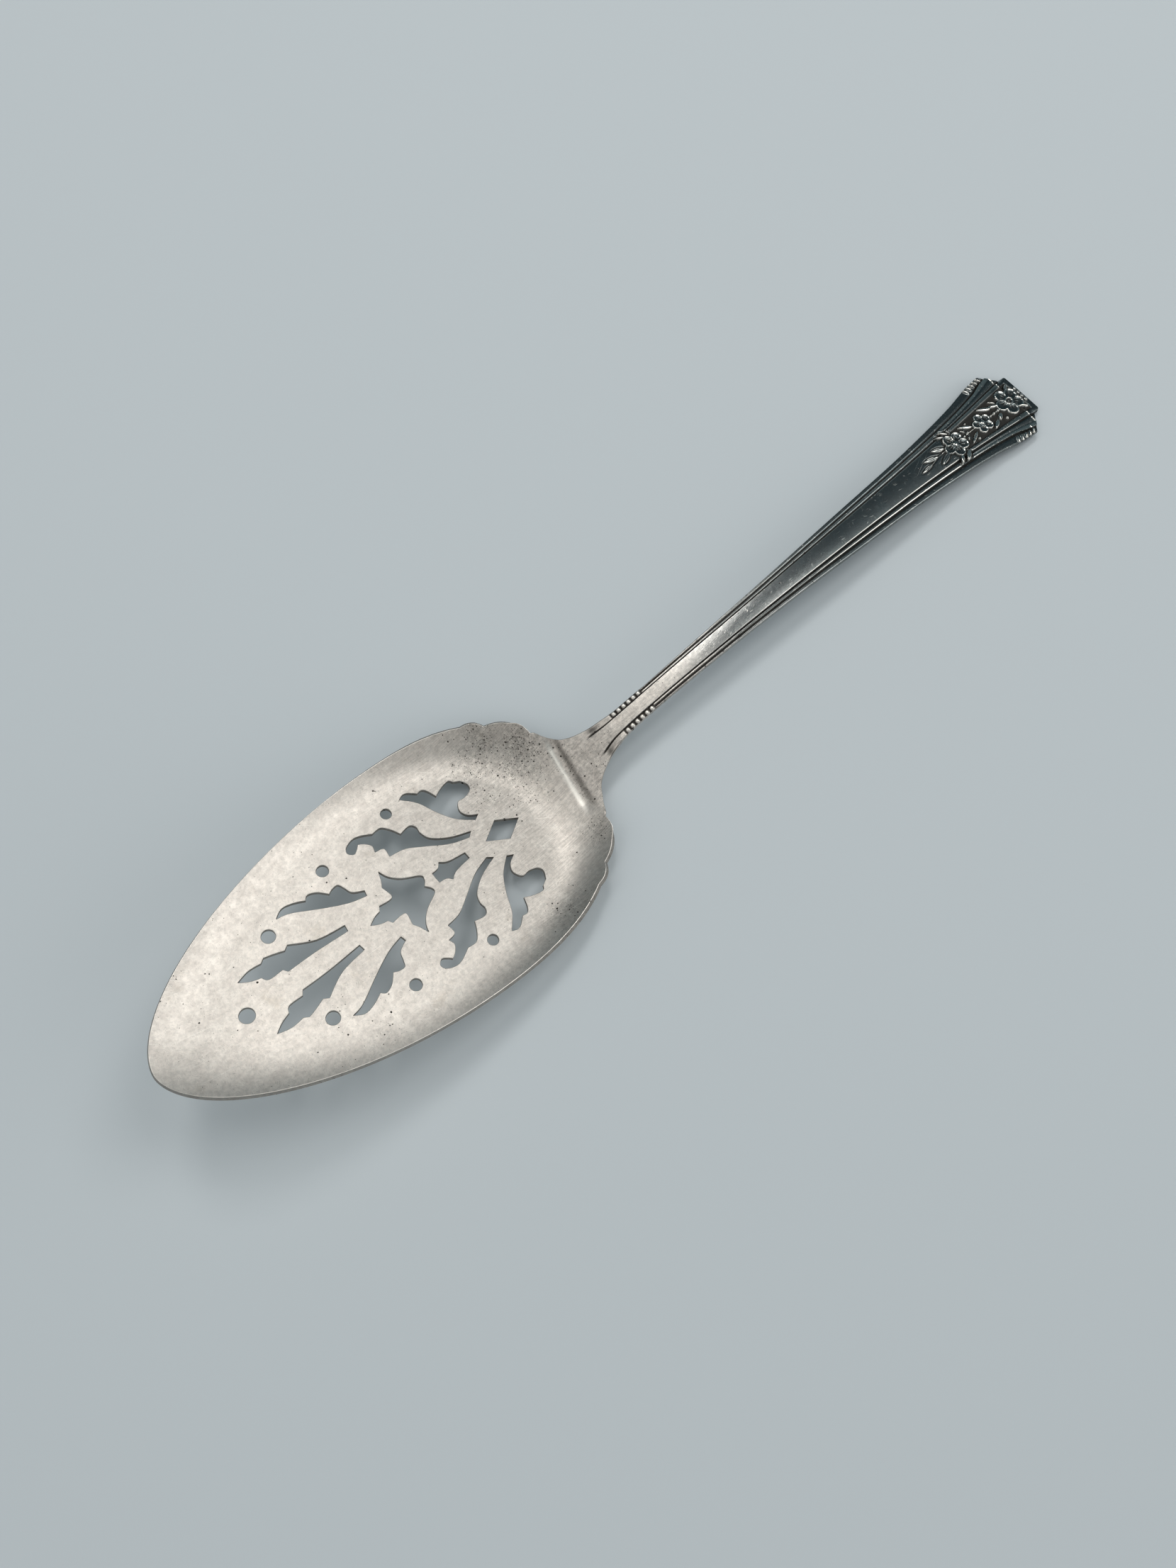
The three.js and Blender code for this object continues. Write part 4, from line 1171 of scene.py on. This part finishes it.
def cloud_group():
    """Soft dull patches, brown stains, mottling and fine grain."""
    tree, given, result = node_group("clouds", {"Vector": "NodeSocketVector"}, [*CLOUDS, "Grain"])
    vector = given.outputs["Vector"]
    for name, (cloud, shown) in CLOUDS.items():
        tree.links.new(ranged(tree, noise(tree, vector, *cloud), *shown), result.inputs[name])
    tree.links.new(noise(tree, vector, *GRAIN), result.inputs["Grain"])
    return tree


def grouped(tree, group, inputs):
    return add(tree, "ShaderNodeGroup", inputs, node_tree=group).outputs


def attribute(tree, name):
    return add(tree, "ShaderNodeAttribute", attribute_name=name).outputs["Fac"]


def summed(tree, total, parts):
    """A value with masks added to it, each times its own strength."""
    for mask, strength in parts:
        total = maths(tree, "MULTIPLY_ADD", mask, strength, total)
    return total


def silver_material(name, groups, finish):
    """Worn silver plate; finish gives tones, roughness and marks, as values or functions of the place."""
    material = bpy.data.materials.new(name)
    material.use_nodes = True
    tree = material.node_tree
    shader = tree.nodes["Principled BSDF"]
    shader.inputs["Metallic"].default_value = 1.0
    place = add(tree, "ShaderNodeTexCoord").outputs["Object"]
    values = {key: made(tree, place) if callable(made) else made for key, made in finish.items()}
    clouds = grouped(tree, groups["clouds"], {"Vector": place})
    lines = grouped(tree, groups["scratches"], {"Vector": place, "Amount": values["scratches"]})
    pits = grouped(tree, groups["pits"], {"Vector": place, "Density": values["pits"]})["Pits"]
    hollow_patina_and_painted_shade = attribute(tree, "hollow_patina_and_painted_shade")
    wear_and_painted_highlight = attribute(tree, "wear_and_painted_highlight")
    brushing = maths(tree, "MULTIPLY", lines["Brushing"], values["brushing"])

    tone = mixed(tree, clouds["Patches"], values["bright"], values["dull"])
    # The hollow mark carries real tarnish and painted shade on the cut walls and crease; the wear mark
    # carries real wear and a painted highlight along the crease
    marks = [
        (clouds["Stains"], STAIN_SHARE, STAIN),
        (clouds["Mottle"], MOTTLE_SHADE, values["dark"]),
        (maths(tree, "MULTIPLY", values["pits"], clouds["Mottle"]), SOOT_SHADE, TARNISH_AND_PAINTED_SHADE),
        (brushing, BRUSHING_SHADE, TARNISH_AND_PAINTED_SHADE),
        (lines["Dark"], DARK_SCRATCH_SHADE, TARNISH_AND_PAINTED_SHADE),
        (lines["Pale"], SCRATCH_SHINE, WORN_AND_PAINTED_HIGHLIGHT),
        (pits, PIT_SHADE, TARNISH_AND_PAINTED_SHADE),
        (hollow_patina_and_painted_shade, HOLLOW_SHADE, TARNISH_AND_PAINTED_SHADE),
        (wear_and_painted_highlight, WEAR_AND_PAINTED_HIGHLIGHT_SHINE, WORN_AND_PAINTED_HIGHLIGHT),
    ]
    for mask, strength, tint in marks:
        tone = mixed(tree, maths(tree, "MULTIPLY", mask, strength), tone, tint)
    tree.links.new(tone, shader.inputs["Base Color"])

    dirty = largest(tree, [hollow_patina_and_painted_shade, pits])
    rough = summed(tree, values["roughness"], [
        (clouds["Patches"], PATCH_ROUGHNESS), (brushing, BRUSHING_ROUGHNESS),
        (dirty, TARNISH_ROUGHNESS), (wear_and_painted_highlight, WEAR_ROUGHNESS)])
    tree.links.new(rough, shader.inputs["Roughness"])

    scratched = largest(tree, [lines["Pale"], lines["Dark"]])
    relief = summed(tree, brushing, [
        (scratched, SCRATCH_RELIEF), (pits, PIT_RELIEF), (clouds["Grain"], GRAIN_RELIEF)])
    bump = add(tree, "ShaderNodeBump", {"Strength": 1.0, "Distance": LINE_RELIEF * MM, "Height": relief})
    tree.links.new(bump.outputs[0], shader.inputs["Normal"])
    return material


def over_stretch(stretch, near=0.0, far=1.0):
    """Gives a value that goes smoothly from one number to another over a stretch along the server."""
    def value(tree, place):
        along = add(tree, "ShaderNodeSeparateXYZ", {0: place}).outputs["X"]
        return ranged(tree, along, stretch[0] * MM, stretch[1] * MM, near, far)

    return value


def blade_pits(tree, place):
    """Few pits everywhere, more of them round the pitted places, in clouds."""
    total = FEW_PITS
    for centre, reach, density in PITTED_PLACES:
        ends = {0: place, 1: Vector(centre) * MM}
        away = add(tree, "ShaderNodeVectorMath", ends, operation="DISTANCE").outputs["Value"]
        total = maths(tree, "ADD", total, ranged(tree, away, 0.0, reach * MM, density, 0.0))
    clouding = ranged(tree, noise(tree, place, *PIT_CLOUDS), *PIT_CLOUD_RANGE)
    return maths(tree, "MULTIPLY", total, clouding)


def rubbed_roughness(tree, place):
    return ranged(tree, attribute(tree, "rubbed"), 0.0, 1.0, RIM_ROUGHNESS, FLOOR_ROUGHNESS)


def handle_tone(heel, middle, end):
    """Gives a tone that goes over from the heel to the middle of the handle and on to its end."""
    def tone(tree, place):
        polished = mixed(tree, over_stretch(POLISH_STRETCH)(tree, place), heel, middle)
        return mixed(tree, over_stretch(DARK_STRETCH)(tree, place), polished, end)

    return tone


def blade_silver(groups):
    return silver_material("blade_silver", groups, {
        "bright": BLADE_BRIGHT,
        "dull": BLADE_DULL,
        "dark": BLADE_DARK,
        "roughness": rubbed_roughness,
        "brushing": over_stretch(BRUSHED_STRETCH, TIP_BRUSHING, HEEL_BRUSHING),
        "scratches": SCRATCH_AMOUNT,
        "pits": blade_pits,
    })


def handle_silver(groups):
    return silver_material("handle_silver", groups, {
        # The middle and end tones paint the dark, bluish reflections of the polished handle, together with
        # some tarnish
        "bright": handle_tone(BLADE_BRIGHT, HANDLE_BRIGHT, END_BRIGHT),
        "dull": handle_tone(BLADE_DULL, HANDLE_DULL, END_DULL),
        "dark": HANDLE_DARK,
        "roughness": over_stretch(POLISH_STRETCH, RIM_ROUGHNESS, HANDLE_ROUGHNESS),
        "brushing": over_stretch(POLISH_STRETCH, HEEL_BRUSHING, HANDLE_BRUSHING),
        "scratches": over_stretch(POLISH_STRETCH, SCRATCH_AMOUNT, HANDLE_SCRATCHES),
        "pits": over_stretch(PITTED_STRETCH, *HANDLE_PITS),
    })


def dress(piece, node, material):
    piece.data.materials.clear()
    piece.data.materials.append(material)
    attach(piece, "root")
    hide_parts(node)


def make_floor():
    bm = bmesh.new()
    bmesh.ops.create_grid(bm, x_segments=4, y_segments=4, size=TABLE_REACH)
    floor = object_from(bm, "floor")
    material = bpy.data.materials.new("pale_floor")
    material.use_nodes = True
    shader = material.node_tree.nodes["Principled BSDF"]
    shader.inputs["Base Color"].default_value = TABLE_COLOUR
    shader.inputs["Roughness"].default_value = TABLE_ROUGHNESS
    shader.inputs["Specular IOR Level"].default_value = TABLE_SHINE
    floor.data.materials.append(material)


def make_light(name, direction, distance, size, turn, power, tint):
    data = bpy.data.lights.new(name, "AREA")
    data.shape = "RECTANGLE"
    data.size, data.size_y = size
    data.energy = power
    data.color = tint
    light = bpy.data.objects.new(name, data)
    way = Vector(direction).normalized()
    light.location = way * distance
    facing_down = way.to_track_quat("Z", "Y") @ Quaternion((0, 0, 1), math.radians(turn))
    light.rotation_euler = facing_down.to_euler()
    bpy.context.scene.collection.objects.link(light)


def facing(tree, way, direction, low, high):
    """0 to 1 as a direction of the surroundings comes close to a given one."""
    toward = Vector(direction).normalized()
    close = add(tree, "ShaderNodeVectorMath", {0: way, 1: toward}, operation="DOT_PRODUCT").outputs["Value"]
    return ranged(tree, close, low, high)


def make_world():
    world = bpy.data.worlds.new("studio")
    bpy.context.scene.world = world
    world.use_nodes = True
    tree = world.node_tree
    background = tree.nodes["Background"]
    way = add(tree, "ShaderNodeTexCoord").outputs["Generated"]
    lit = ALL_ROUND
    for direction, low, high, tint in SURROUNDINGS:
        lit = mixed(tree, facing(tree, way, direction, low, high), lit, tint)
    tree.links.new(lit, background.inputs["Color"])


def make_camera():
    data = bpy.data.cameras.new("camera")
    data.sensor_fit = "VERTICAL"
    data.sensor_width = SENSOR
    data.sensor_height = SENSOR
    data.lens = SENSOR * FOCAL_PIXELS / IMAGE_HEIGHT
    data.clip_start = NEAREST_SEEN
    camera = bpy.data.objects.new("camera", data)
    camera.location = Vector(CAMERA_PLACE) * MM
    camera.rotation_euler = Euler([math.radians(angle) for angle in CAMERA_TURN], "XYZ")
    bpy.context.scene.collection.objects.link(camera)
    bpy.context.scene.camera = camera


groups = {"scratches": scratch_group(), "pits": pit_group(), "clouds": cloud_group()}
dress(make_blade(), "blade", blade_silver(groups))
dress(make_handle(), "handle", handle_silver(groups))
make_floor()
make_world()
for lamp in LAMPS:
    make_light(*lamp)
make_camera()
bpy.context.scene.view_settings.view_transform = "Standard"
